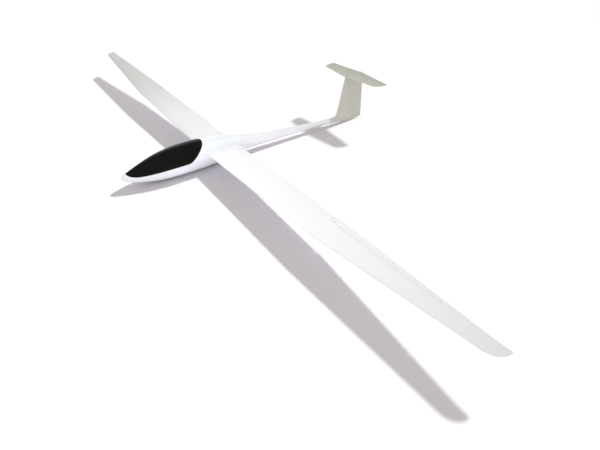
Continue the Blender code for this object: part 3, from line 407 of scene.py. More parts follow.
def turned(profile: Sequence[tuple[float, float]], place: Matrix, sides: int) -> bmesh.types.BMesh:
    """A solid turned about its own z axis.

    Args:
        profile: Its (radius, height) points; a closed ring, or open where it meets the axis.
        place: Where the axis is put.
        sides: The number of steps round it.

    Returns:
        The turned solid.
    """
    bm = bmesh.new()
    whole = profile[0][0] > 0 and profile[-1][0] > 0
    rows = []
    for a in whole_turn(sides):
        spots = [place @ Vector((r * math.cos(a), r * math.sin(a), h)) for r, h in profile]
        rows.append([bm.verts.new(spot) for spot in spots])
    lace(bm, rows, closed=whole, ring=True)
    bmesh.ops.remove_doubles(bm, verts=bm.verts, dist=1e-7)
    bmesh.ops.dissolve_degenerate(bm, edges=bm.edges, dist=1e-8)
    bmesh.ops.recalc_face_normals(bm, faces=bm.faces)
    return bm


def along(direction: Sequence[float], place: Sequence[float]) -> Matrix:
    """A place whose z axis points along a direction."""
    return Matrix.Translation(place) @ Vector(direction).to_track_quat("Z", "Y").to_matrix().to_4x4()


def lug(
    start: Sequence[float], end: Sequence[float], hole: Sequence[float], radius: float, count: int = 16
) -> Outline:
    """Outline of a lug that narrows from its base to a round tip about its hole.

    Args:
        start: One corner of its base.
        end: The base's other corner.
        hole: The middle of the hole, and of the tip.
        radius: The tip's radius.
        count: The number of steps round the tip.

    Returns:
        The outline's points.
    """
    middle = Vector(hole)
    way = -1 if (Vector(end) - Vector(start)).cross(middle - Vector(start)) > 0 else 1
    turns = []
    for corner, lean in ((Vector(start), way), (Vector(end), -way)):
        reach = corner - middle
        turns.append(math.atan2(reach.y, reach.x) + lean * math.acos(radius / reach.length))
    if (turns[1] - turns[0]) * way < 0:
        turns[1] += way * 2 * math.pi
    first, last = (math.degrees(turn) for turn in turns)
    return [tuple(start)] + arc(hole, radius, first, last, count) + [tuple(end)]


def screw_head(place: Sequence[float], way: Sequence[float], radius: float) -> bmesh.types.BMesh:
    """A domed screw head with a round driving recess.

    Args:
        place: The middle of its seat.
        way: The direction that it faces.
        radius: Its radius.

    Returns:
        The head.
    """
    profile = [(wide * radius, rise * radius) for wide, rise in SCREW_PROFILE]
    return turned(profile, along(way, place), 20)


def rod_barrel(end: Vector, way: Vector) -> bmesh.types.BMesh:
    """The screwed-on barrel at a rod's end, with a waist and rounded rims.

    Args:
        end: The rod's end.
        way: The direction from the end back along the rod.

    Returns:
        The barrel.
    """
    radius, length = FITTINGS.barrel_radius, FITTINGS.barrel_length
    profile = [(wide * radius, dome * radius + rise * length) for wide, dome, rise in BARREL_PROFILE]
    return turned(profile, along(way, end), 24)


def two_shells(
    foot: Sequence[float],
    size: Sequence[float],
    split: float,
    seam: float,
    edges: Sequence[float],
    neck: Sequence[float] = (0.0, 4.0),
) -> list[bmesh.types.BMesh]:
    """A case's two shells with a seam between them, and the neck that closes the seam.

    Args:
        foot: The middle of the case's underside.
        size: Its three side lengths.
        split: The lower shell's height.
        seam: The seam's width, and half of its depth.
        edges: The radii of the lower and the upper shell's edges.
        neck: How far the neck's middle lies over the lower shell, and the neck's height, both in seams.

    Returns:
        The lower shell, the neck and the upper shell.
    """
    x, y, low = foot
    wide, long, high = size
    start = split + seam
    lower = block((x, y, low + split / 2), (wide, long, split), edges[0])
    rise, tall = (share * seam for share in neck)
    core = block((x, y, low + split + rise), (wide - 4 * seam, long - 4 * seam, tall))
    upper = block((x, y, low + (start + high) / 2), (wide, long, high - start), edges[1])
    return [lower, core, upper]


def together(shapes: Iterable[bmesh.types.BMesh]) -> bmesh.types.BMesh:
    """Puts several bodies into one mesh and frees them.

    Args:
        shapes: The bodies.

    Returns:
        The mesh that holds them all.
    """
    whole = bmesh.new()
    for shape in shapes:
        scrap = bpy.data.meshes.new("scrap")
        shape.to_mesh(scrap)
        shape.free()
        whole.from_mesh(scrap)
        bpy.data.meshes.remove(scrap)
    return whole


def as_object(name: str, shape: bmesh.types.BMesh) -> bpy.types.Object:
    """Makes an object of a mesh and frees the mesh."""
    mesh = bpy.data.meshes.new(name)
    shape.to_mesh(mesh)
    shape.free()
    made = bpy.data.objects.new(name, mesh)
    bpy.context.scene.collection.objects.link(made)
    return made


def settle(target: bpy.types.Object) -> None:
    """Applies an object's modifiers to its mesh."""
    graph = bpy.context.evaluated_depsgraph_get()
    settled = bpy.data.meshes.new_from_object(target.evaluated_get(graph), depsgraph=graph)
    old = target.data
    target.modifiers.clear()
    target.data = settled
    bpy.data.meshes.remove(old)


def carve(target: bpy.types.Object, tool: bmesh.types.BMesh, cut: Cut = Cut.AWAY) -> None:
    """Cuts, joins or crosses an object with a solid.

    Args:
        target: The object that changes.
        tool: The solid; it is used up.
        cut: What the solid does.
    """
    helper = as_object("carving_tool", tool)
    step = target.modifiers.new("carving", "BOOLEAN")
    step.operation = cut.value
    step.solver = "EXACT"
    step.object = helper
    settle(target)
    used = helper.data
    bpy.data.objects.remove(helper)
    bpy.data.meshes.remove(used)


def drill(
    target: bpy.types.Object,
    middle: Sequence[float],
    reach: Sequence[float],
    radius: float,
    sides: int = FITTINGS.sides,
) -> None:
    """Drills a round hole through an object.

    Args:
        target: The object.
        middle: The middle of the hole.
        reach: The way from the middle to the drill's end; the other end is as far away.
        radius: The hole's radius.
        sides: The number of flats round it.
    """
    spot, away = Vector(middle), Vector(reach)
    carve(target, bar([spot - away, spot + away], radius, sides))


def soften_edges(target: bpy.types.Object, radius: float, angle: float = 40.0, segments: int = 2) -> None:
    """Rounds an object's sharp edges.

    Args:
        target: The object.
        radius: The width of the rounding.
        angle: The least angle between two faces whose edge is rounded.
        segments: The number of steps round each edge.
    """
    step = target.modifiers.new("rounding", "BEVEL")
    step.width = radius
    step.segments = segments
    step.limit_method = "ANGLE"
    step.angle_limit = math.radians(angle)
    settle(target)


class NormalGuide:
    """A smooth surface that a carved solid takes its shading from.

    Attributes:
        AGREE: Least cosine between the normals of a face and of the surface that it follows.
        REACH: Greatest distance of such a face from the surface.
    """

    AGREE = 0.93
    REACH = 0.0004

    def __init__(self, surface: bmesh.types.BMesh) -> None:
        """Keeps a copy of the surface and frees it.

        Args:
            surface: The surface before it is carved.
        """
        bmesh.ops.triangulate(surface, faces=surface.faces)
        surface.normal_update()
        surface.verts.ensure_lookup_table()
        self.corners = [[v.index for v in f.verts] for f in surface.faces]
        self.places = [v.co.copy() for v in surface.verts]
        self.normals = [v.normal.copy() for v in surface.verts]
        self.tree = BVHTree.FromPolygons(self.places, self.corners)
        surface.free()

    def distance(self, place: Vector, normal: Vector) -> float | None:
        """How far a face is from the surface, or None where it doesn't follow it."""
        _, found, _, distance = self.tree.find_nearest(place)
        if found is None or found.dot(normal) < self.AGREE or distance >= self.REACH:
            return None
        return distance

    def normal(self, place: Vector) -> Vector:
        """The surface's smooth normal at the place on it that is nearest."""
        spot, _, face, _ = self.tree.find_nearest(place)
        a, b, c = self.corners[face]
        pa, pb, pc = self.places[a], self.places[b], self.places[c]
        whole = (pb - pa).cross(pc - pa)
        area = whole.length_squared
        if area == 0:
            return self.normals[a]
        u = (pb - spot).cross(pc - spot).dot(whole) / area
        v = (pc - spot).cross(pa - spot).dot(whole) / area
        return (self.normals[a] * u + self.normals[b] * v + self.normals[c] * (1 - u - v)).normalized()


def shade(target: bpy.types.Object, sharp: float, guides: Sequence[NormalGuide] = ()) -> None:
    """Smooths an object's shading, and takes it from guides where faces lie on them.

    Args:
        target: The object, still in the maker's axes.
        sharp: The angle from which an edge stays sharp.
        guides: The smooth surfaces that the object was carved from.
    """
    mesh = target.data
    mesh.shade_smooth()
    mesh.set_sharp_from_angle(angle=math.radians(sharp))
    if not guides:
        return
    normals = [corner.vector.copy() for corner in mesh.corner_normals]
    for polygon in mesh.polygons:
        near = []
        for order, guide in enumerate(guides):
            distance = guide.distance(polygon.center, polygon.normal)
            if distance is not None:
                near.append((distance, order))
        if near:
            guide = guides[min(near)[1]]
            for corner in polygon.loop_indices:
                normals[corner] = guide.normal(mesh.vertices[mesh.loops[corner].vertex_index].co)
    mesh.normals_split_custom_set(normals)


class Wiring:
    """Adds nodes to a node tree and joins them."""

    def __init__(self, tree: bpy.types.NodeTree) -> None:
        """Keeps the tree that the nodes go into."""
        self.tree = tree

    def add(
        self, kind: str, inputs: dict[str | int, object] | None = None, **settings: object
    ) -> bpy.types.Node:
        """Adds a node.

        Args:
            kind: The node's type.
            inputs: A value or another node's socket for each input that is set.
            **settings: The node's own settings.

        Returns:
            The node.
        """
        node = self.tree.nodes.new(kind)
        for key, value in settings.items():
            setattr(node, key, value)
        for key, value in (inputs or {}).items():
            if isinstance(value, bpy.types.NodeSocket):
                self.tree.links.new(value, node.inputs[key])
            else:
                node.inputs[key].default_value = value
        return node

    def maths(self, operation: str, *values: object, clamp: bool = False) -> bpy.types.NodeSocket:
        """A sum, product or other operation on values or sockets."""
        node = self.add("ShaderNodeMath", dict(enumerate(values)), operation=operation, use_clamp=clamp)
        return node.outputs[0]

    def spread(
        self, value: object, low: float, high: float, to_low: object, to_high: object
    ) -> bpy.types.NodeSocket:
        """Stretches a value from one range to another and keeps it inside."""
        inputs = {0: value, 1: low, 2: high, 3: to_low, 4: to_high}
        return self.add("ShaderNodeMapRange", inputs).outputs[0]

    def tint(self, share: object, first: object, second: object) -> bpy.types.NodeSocket:
        """A colour between two colours."""
        node = self.add("ShaderNodeMix", {0: share}, data_type="RGBA")
        for index, value in ((6, first), (7, second)):
            if isinstance(value, bpy.types.NodeSocket):
                self.tree.links.new(value, node.inputs[index])
            else:
                node.inputs[index].default_value = (*value, 1.0)
        return node.outputs[2]

    def place(self, stretch: Sequence[float] = (1.0, 1.0, 1.0)) -> bpy.types.NodeSocket:
        """The place on the piece, stretched along its axes."""
        spot = self.add("ShaderNodeTexCoord").outputs["Object"]
        return self.add("ShaderNodeMapping", {"Vector": spot, "Scale": stretch}).outputs[0]


class Effect(Enum):
    """The surface effects, each a node group that is built on its first use."""

    GRAIN = "fine_grain"
    BEADS = "foam_beads"
    HANDLING = "handling_marks"
    DUST = "settled_dust"
    WEAVE = "woven_cloth"
    WOOD = "wood_grain"

    def tree(self) -> bpy.types.NodeTree:
        """The effect's node group."""
        found = bpy.data.node_groups.get(self.value)
        return found or getattr(self, f"_{self.name.lower()}")()

    def _group(
        self, inputs: dict[str, float], outputs: Sequence[str]
    ) -> tuple[Wiring, bpy.types.Node, bpy.types.Node]:
        """Starts the node group.

        Args:
            inputs: Each input's name and usual value.
            outputs: The outputs' names.

        Returns:
            The wiring, the group's input node and its output node.
        """
        tree = bpy.data.node_groups.new(self.value, "ShaderNodeTree")
        for label, value in inputs.items():
            socket = tree.interface.new_socket(label, in_out="INPUT", socket_type="NodeSocketFloat")
            socket.default_value = value
        for label in outputs:
            tree.interface.new_socket(label, in_out="OUTPUT", socket_type="NodeSocketFloat")
        return Wiring(tree), tree.nodes.new("NodeGroupInput"), tree.nodes.new("NodeGroupOutput")

    def _grain(self) -> bpy.types.NodeTree:
        """Fine uneven texture and slow changes of tone."""
        wiring, entry, leave = self._group({"Scale": 900.0, "Tone Scale": 12.0}, ("Height", "Tone"))
        spot = wiring.place()
        inputs = {"Vector": spot, "Scale": entry.outputs["Scale"], "Detail": 3.0, "Roughness": 0.6}
        fine = wiring.add("ShaderNodeTexNoise", inputs)
        inputs = {"Vector": spot, "Scale": entry.outputs["Tone Scale"], "Detail": 4.0}
        slow = wiring.add("ShaderNodeTexNoise", inputs)
        wiring.tree.links.new(fine.outputs[0], leave.inputs["Height"])
        tone = wiring.spread(slow.outputs[0], 0.3, 0.7, 0.0, 1.0)
        wiring.tree.links.new(tone, leave.inputs["Tone"])
        return wiring.tree

    def _beads(self) -> bpy.types.NodeTree:
        """Pressed foam beads: their rounded faces and a tone of their own."""
        wiring, entry, leave = self._group({"Scale": 300.0}, ("Height", "Tone"))
        spot = wiring.place()
        inputs = {"Vector": spot, "Scale": entry.outputs["Scale"]}
        edge = wiring.add("ShaderNodeTexVoronoi", dict(inputs), feature="DISTANCE_TO_EDGE")
        cell = wiring.add("ShaderNodeTexVoronoi", dict(inputs), feature="F1")
        height = wiring.spread(edge.outputs["Distance"], 0.0, 0.22, 0.0, 1.0)
        wiring.tree.links.new(wiring.maths("POWER", height, 0.45), leave.inputs["Height"])
        tone = wiring.add("ShaderNodeSeparateColor", {0: cell.outputs["Color"]}).outputs[0]
        wiring.tree.links.new(tone, leave.inputs["Tone"])
        return wiring.tree

    def _handling(self) -> bpy.types.NodeTree:
        """Smudges from hands, and hairline scratches."""
        outputs = ("Smudge", "Scratch")
        wiring, entry, leave = self._group({"Smudge Scale": 18.0, "Scratch Scale": 26.0}, outputs)
        inputs = {"Vector": wiring.place(), "Scale": entry.outputs["Smudge Scale"], "Detail": 5.0}
        smear = wiring.add("ShaderNodeTexNoise", {**inputs, "Distortion": 0.6}).outputs[0]
        wiring.tree.links.new(wiring.spread(smear, 0.48, 0.68, 0.0, 1.0), leave.inputs["Smudge"])
        spot = wiring.place((14.0, 0.7, 9.0))
        inputs = {"Vector": spot, "Scale": entry.outputs["Scratch Scale"], "Detail": 1.0}
        line = wiring.add("ShaderNodeTexNoise", {**inputs, "Distortion": 0.25}).outputs[0]
        near = wiring.maths("ABSOLUTE", wiring.maths("SUBTRACT", line, 0.63))
        wiring.tree.links.new(wiring.spread(near, 0.0, 0.006, 1.0, 0.0), leave.inputs["Scratch"])
        return wiring.tree

    def _dust(self) -> bpy.types.NodeTree:
        """A thin film of dust on what faces up."""
        wiring, entry, leave = self._group({"Amount": 0.2, "Scale": 40.0}, ("Mask",))
        normal = wiring.add("ShaderNodeNewGeometry").outputs["Normal"]
        up = wiring.add("ShaderNodeSeparateXYZ", {0: normal}).outputs["Z"]
        inputs = {"Vector": wiring.place(), "Scale": entry.outputs["Scale"], "Detail": 6.0}
        patch = wiring.add("ShaderNodeTexNoise", inputs).outputs[0]
        film = wiring.maths("MULTIPLY", wiring.spread(up, 0.3, 1.0, 0.0, 1.0), patch)
        film = wiring.maths("MULTIPLY", film, entry.outputs["Amount"], clamp=True)
        wiring.tree.links.new(film, leave.inputs["Mask"])
        return wiring.tree

    def _weave(self) -> bpy.types.NodeTree:
        """Plain-woven threads that pass over and under each other, painted lighter where they rise and with
        painted shade where they dip.
        """
        wiring, entry, leave = self._group({"Scale": 1400.0}, ("Height", "Tone"))
        waves = []
        for direction in ("X", "Y", "Z"):
            inputs = {"Vector": wiring.place(), "Scale": entry.outputs["Scale"]}
            wave = wiring.add("ShaderNodeTexWave", inputs, bands_direction=direction, wave_type="BANDS")
            waves.append(wiring.maths("MULTIPLY_ADD", wave.outputs["Fac"], 2.0, -1.0))
        across, upright = (wiring.maths("MULTIPLY", waves[1], waves[k]) for k in (0, 2))
        crossing = wiring.maths("ADD", across, upright)
        height = wiring.maths("MULTIPLY_ADD", crossing, 0.35, 0.5, clamp=True)
        wiring.tree.links.new(height, leave.inputs["Height"])
        # The tone is the height itself: painted shade between the threads, lighter on their crossings.
        wiring.tree.links.new(wiring.spread(height, 0.1, 0.9, 0.0, 1.0), leave.inputs["Tone"])
        return wiring.tree

    def _wood(self) -> bpy.types.NodeTree:
        """Grain that runs along the model, with pores."""
        wiring, entry, leave = self._group({"Scale": 220.0}, ("Height", "Tone"))
        spot = wiring.place((1.0, 0.06, 1.0))
        inputs = {"Vector": spot, "Scale": entry.outputs["Scale"], "Distortion": 6.0, "Detail": 3.0}
        rings = wiring.add("ShaderNodeTexWave", {**inputs, "Detail Scale": 1.5}, bands_direction="X")
        inputs = {"Vector": wiring.place((1.0, 0.03, 1.0)), "Scale": 2600.0, "Detail": 4.0}
        pores = wiring.add("ShaderNodeTexNoise", inputs).outputs[0]
        tone = wiring.maths("MULTIPLY_ADD", pores, 0.5, wiring.maths("MULTIPLY", rings.outputs[1], 0.5))
        wiring.tree.links.new(tone, leave.inputs["Tone"])
        wiring.tree.links.new(pores, leave.inputs["Height"])
        return wiring.tree


@dataclass(frozen=True)
class Finish:
    """A finish: its colour, gloss and the surface effects on it."""

    name: str
    slot: str
    colour: Colour
    shade: Colour
    roughness: float = 0.4
    uneven: float = 0.08
    metallic: float = 0.0
    coat: float = 0.0
    coat_roughness: float = 0.05
    specular: float = 0.5
    texture: Effect = Effect.GRAIN
    scale: float = 900.0
    tone: float = 1.0
    depth: float = 0.00002
    smudge: float = 0.05
    scratch: float = 0.02
    dust: float = 0.05
    dust_colour: Colour = (0.55, 0.53, 0.50)

    def material(self) -> bpy.types.Material:
        """The finish's material, built on its first use."""
        found = bpy.data.materials.get(self.name)
        if found:
            return found
        made = bpy.data.materials.new(self.name)
        made.use_nodes = True
        made.diffuse_color = (*self.colour, 1.0)
        shader = made.node_tree.nodes["Principled BSDF"]
        shader.inputs["Metallic"].default_value = self.metallic
        shader.inputs["Specular IOR Level"].default_value = self.specular
        shader.inputs["Coat Weight"].default_value = self.coat
        shader.inputs["Coat Roughness"].default_value = self.coat_roughness
        self.dress(Wiring(made.node_tree), shader)
        return made

    def dress(self, wiring: Wiring, shader: bpy.types.Node) -> None:
        """Joins the surface effects to the shader.

        Args:
            wiring: The material's wiring.
            shader: Its Principled shader.
        """
        texture = self.effect(wiring, self.texture, Scale=self.scale)
        marks = self.effect(wiring, Effect.HANDLING)
        film = self.effect(wiring, Effect.DUST, Amount=self.dust)
        share = wiring.maths("MULTIPLY", texture.outputs["Tone"], self.tone)
        colour = wiring.tint(share, self.colour, self.shade)
        colour = wiring.tint(film.outputs["Mask"], colour, self.dust_colour)
        wiring.tree.links.new(colour, shader.inputs["Base Color"])
        rough = wiring.maths("MULTIPLY_ADD", texture.outputs["Tone"], self.uneven, self.roughness)
        rough = wiring.maths("MULTIPLY_ADD", marks.outputs["Smudge"], self.smudge, rough)
        rough = wiring.maths("ADD", rough, film.outputs["Mask"], clamp=True)
        wiring.tree.links.new(rough, shader.inputs["Roughness"])
        height = wiring.maths("MULTIPLY", marks.outputs["Scratch"], -self.scratch)
        height = wiring.maths("ADD", texture.outputs["Height"], height)
        bump = wiring.add("ShaderNodeBump", {"Height": height, "Distance": self.depth, "Strength": 1.0})
        wiring.tree.links.new(bump.outputs[0], shader.inputs["Normal"])

    @staticmethod
    def effect(wiring: Wiring, effect: Effect, **values: float) -> bpy.types.Node:
        """Places an effect's node group with its own values."""
        node = wiring.add("ShaderNodeGroup", node_tree=effect.tree())
        for label, value in values.items():
            node.inputs[label].default_value = value
        return node


GLOSS_MOULDING = Finish(
    "gloss moulding", "fuselage_gloss", (0.83, 0.84, 0.88), (0.80, 0.81, 0.85), roughness=0.17,
    uneven=0.03, coat=0.5, coat_roughness=0.04, scale=700.0, depth=0.00001, smudge=0.05, dust=0.02,
)
CANOPY_MOULDING = Finish(
    "canopy moulding", "canopy_black", (0.0058, 0.0058, 0.0052), (0.0085, 0.0085, 0.0078), roughness=0.10,
    uneven=0.03, specular=0.07, scale=500.0, depth=0.000006, smudge=0.08, dust=0.006,
)
WING_FOAM = Finish(
    "wing foam", "wing_foam", (0.84, 0.85, 0.865), (0.815, 0.825, 0.84), roughness=0.30, uneven=0.08,
    texture=Effect.BEADS, scale=330.0, tone=0.5, depth=0.00006, smudge=0.08, dust=0.02,
)
# Darker and warmer than the wing foam: partly the tail's own grey-beige foam, partly painted shade for the
# light that falls off towards the tail.
TAIL_FOAM_AND_SHADE = Finish(
    "tail foam", "tail_foam", (0.57, 0.575, 0.515), (0.54, 0.54, 0.475), roughness=0.38, uneven=0.08,
    texture=Effect.BEADS, scale=330.0, tone=0.6, depth=0.00006, smudge=0.08, dust=0.03,
)
BLACK_PLASTIC = Finish(
    "black plastic", "black_plastic", (0.022, 0.022, 0.024), (0.032, 0.032, 0.034), roughness=0.42,
    uneven=0.10, scale=2200.0, depth=0.00004, dust=0.04,
)
SERVO_CASE = Finish(
    "servo case", "servo_plastic", (0.028, 0.030, 0.036), (0.040, 0.042, 0.048), roughness=0.38,
    uneven=0.10, scale=2600.0, depth=0.00003, dust=0.03,
)
RECEIVER_CASE = Finish(
    "receiver case", "receiver_case", (0.045, 0.046, 0.050), (0.060, 0.060, 0.066), roughness=0.48,
    uneven=0.08, scale=2600.0, depth=0.00004, dust=0.03,
)
HORN_NYLON = Finish(
    "horn nylon", "horn_nylon", (0.76, 0.76, 0.73), (0.70, 0.70, 0.66), roughness=0.40, uneven=0.08,
    scale=1500.0, depth=0.00002, dust=0.03,
)
HUB_NYLON = Finish(
    "hub nylon", "hub_nylon", (0.78, 0.78, 0.76), (0.70, 0.70, 0.67), roughness=0.36, uneven=0.10,
    scale=1500.0, depth=0.00002, dust=0.06,
)
STEEL_WIRE = Finish(
    "steel wire", "steel_wire", (0.60, 0.61, 0.63), (0.50, 0.50, 0.51), roughness=0.26, uneven=0.12,
    metallic=1.0, scale=3000.0, depth=0.00001, dust=0.01,
)
DARK_SCREW = Finish(
    "dark screw", "steel_wire", (0.045, 0.045, 0.048), (0.070, 0.070, 0.072), roughness=0.38,
    uneven=0.12, metallic=0.6, scale=3000.0, depth=0.00001, dust=0.01,
)
# The weave's tone puts the lighter second colour on the raised threads: painted light on them, painted shade
# between them.
CARBON_TUBE = Finish(
    "carbon tube", "carbon_tube", (0.020, 0.020, 0.022), (0.060, 0.060, 0.064), roughness=0.30,
    uneven=0.10, coat=0.6, texture=Effect.WEAVE, scale=320.0, depth=0.00001, dust=0.01,
)
TYRE_RUBBER = Finish(
    "tyre rubber", "tyre_rubber", (0.020, 0.020, 0.020), (0.040, 0.038, 0.036), roughness=0.72,
    uneven=0.12, scale=1200.0, depth=0.00008, dust=0.12,
)
PLYWOOD = Finish(
    "plywood", "plywood", (0.62, 0.44, 0.25), (0.43, 0.28, 0.14), roughness=0.58, uneven=0.14,
    texture=Effect.WOOD, scale=240.0, depth=0.00008, dust=0.02,
)
BATTERY_SLEEVE = Finish(
    "battery sleeve", "battery_sleeve", (0.040, 0.080, 0.210), (0.055, 0.100, 0.250), roughness=0.28,
    uneven=0.10, scale=260.0, depth=0.00012, dust=0.02,
)
# The weave's tone puts the lighter second colour on the raised threads: painted light on them, painted shade
# between them.
STRAP_CLOTH = Finish(
    "strap cloth", "strap_cloth", (0.022, 0.022, 0.024), (0.060, 0.060, 0.064), roughness=0.85,
    uneven=0.05, texture=Effect.WEAVE, scale=560.0, depth=0.0003, dust=0.04,
)


class Bench:
    """Moves finished pieces from the maker's axes into the frame and hands them over."""

    def __init__(self, nose_y: float) -> None:
        """Finds how far the frame is moved.

        Args:
            nose_y: The nose's y in the maker's axes.
        """
        self.shift = Vector((0.0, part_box("fuselage")[0][1] - nose_y, 0.0))

    def hand_over(
        self,
        piece: bpy.types.Object,
        finish: Finish,
        body: Carrier,
        stands_for: Sequence[str] = (),
        sharp: float = CREASES.usual,
        guides: Sequence[NormalGuide] = (),
    ) -> bpy.types.Object:
        """Shades, moves, dresses and rides a piece.

        Args:
            piece: The piece in the maker's axes.
            finish: Its finish.
            body: The body that it rides on.
            stands_for: The nodes that it replaces.
            sharp: The angle from which its edges stay sharp.
            guides: The smooth surfaces that it was carved from.

        Returns:
            The piece.
        """
        shade(piece, sharp, guides)
        piece.data.transform(Matrix.Translation(self.shift))
        piece.data.materials.clear()
        piece.data.materials.append(finish.material())
        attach(piece, body.value)
        if stands_for:
            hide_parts(*stands_for)
        LOG.info("%s: %d faces, on %s", piece.name, len(piece.data.polygons), body.value)
        return piece

    @staticmethod
    def keep(node: str, finish: Finish) -> None:
        """Gives a node that stays its better material."""
        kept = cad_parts[node]
        for slot in kept.material_slots:
            slot.material = finish.material()
        LOG.info("%s: kept, %s", node, finish.name)


@dataclass(frozen=True)
class Section:
    """A wing or tail section: its chord, thickness ratio and camber."""

    chord: float
    ratio: float
    camber: float = 0.0
    trailing_half: float = 0.0005

    def half(self, share: float) -> float:
        """Half of the thickness at a share of the chord."""
        x = max(share, 0.0)
        curve = 0.2969 * math.sqrt(x) - 0.1260 * x - 0.3516 * x**2 + 0.2843 * x**3 - 0.1015 * x**4
        return 5 * self.ratio * curve * self.chord + self.trailing_half * x

    def rise(self, share: float, way: int) -> float:
        """Height of the upper (1) or lower (-1) skin over the chord line, or of the mean line (0)."""
        return 4 * self.camber * self.chord * share * (1 - share) + way * self.half(share)

    def skin(self, shares: Iterable[float], face: Face) -> Outline:
        """Points along one skin."""
        return [(share * self.chord, self.rise(share, face.value)) for share in shares]

    def outline(self, count: int = 40) -> Outline:
        """The whole section, from the upper trailing edge round to the lower one."""
        shares = eased(count)
        return self.skin(shares[::-1], Face.UPPER) + self.skin(shares[1:], Face.LOWER)

    def bevel_foot(self, hinge: float, bevel: float) -> float:
        """Share of the chord where the bevel from an upper hinge line meets the lower skin."""
        top = self.rise(hinge, 1)
        foot = hinge
        for _ in range(8):
            foot = hinge + (top - self.rise(foot, -1)) * math.tan(math.radians(bevel)) / self.chord
        return foot

    def bevelled(self, hinge: float, bevel: float, count: int = 10) -> Outline:
        """Section of a surface hinged in the upper skin, with a bevelled front."""
        lower = self.skin(steps(self.bevel_foot(hinge, bevel), 1.0, count), Face.LOWER)
        return lower + self.skin(steps(1.0, hinge, count), Face.UPPER)

    def round_nosed(self, hinge: float, count: int = 16) -> Outline:
        """Section of a symmetric surface with a round nose about its hinge."""
        nose = arc((hinge * self.chord, 0.0), self.half(hinge), 90, 270, count)
        shares = steps(hinge, 1.0, 10)[1:]
        return nose + self.skin(shares, Face.LOWER) + self.skin(shares[::-1], Face.UPPER)

    def nose_room(self, hinge: float, room: float = 0.05, count: int = 16) -> Outline:
        """Section of the room for a round-nosed surface."""
        centre, far = hinge * self.chord, self.chord + room
        curve = arc((centre, 0.0), self.half(hinge) + GAPS.nose, 90, 270, count)
        return [(centre, room)] + curve + [(centre, -room), (far, -room), (far, room)]


def open_skin(
    rings: Sequence[Sequence[Sequence[float]]], sharp: float = 50.0, inward: bool = False
) -> NormalGuide:
    """A guide from rings of points: without its end faces, and split along its sharp edges.

    Args:
        rings: The rings in order.
        sharp: The angle from which an edge is split.
        inward: Whether the surface is the wall of a room and faces into it.

    Returns:
        The guide.
    """
    shape = skin(rings)
    ends = [f for f in shape.faces if len(f.verts) > 4]
    bmesh.ops.delete(shape, geom=ends, context="FACES_ONLY")
    limit = math.radians(sharp)
    edges = [e for e in shape.edges if len(e.link_faces) == 2 and e.calc_face_angle() > limit]
    bmesh.ops.split_edges(shape, edges=edges)
    if inward:
        bmesh.ops.reverse_faces(shape, faces=shape.faces)
    return NormalGuide(shape)


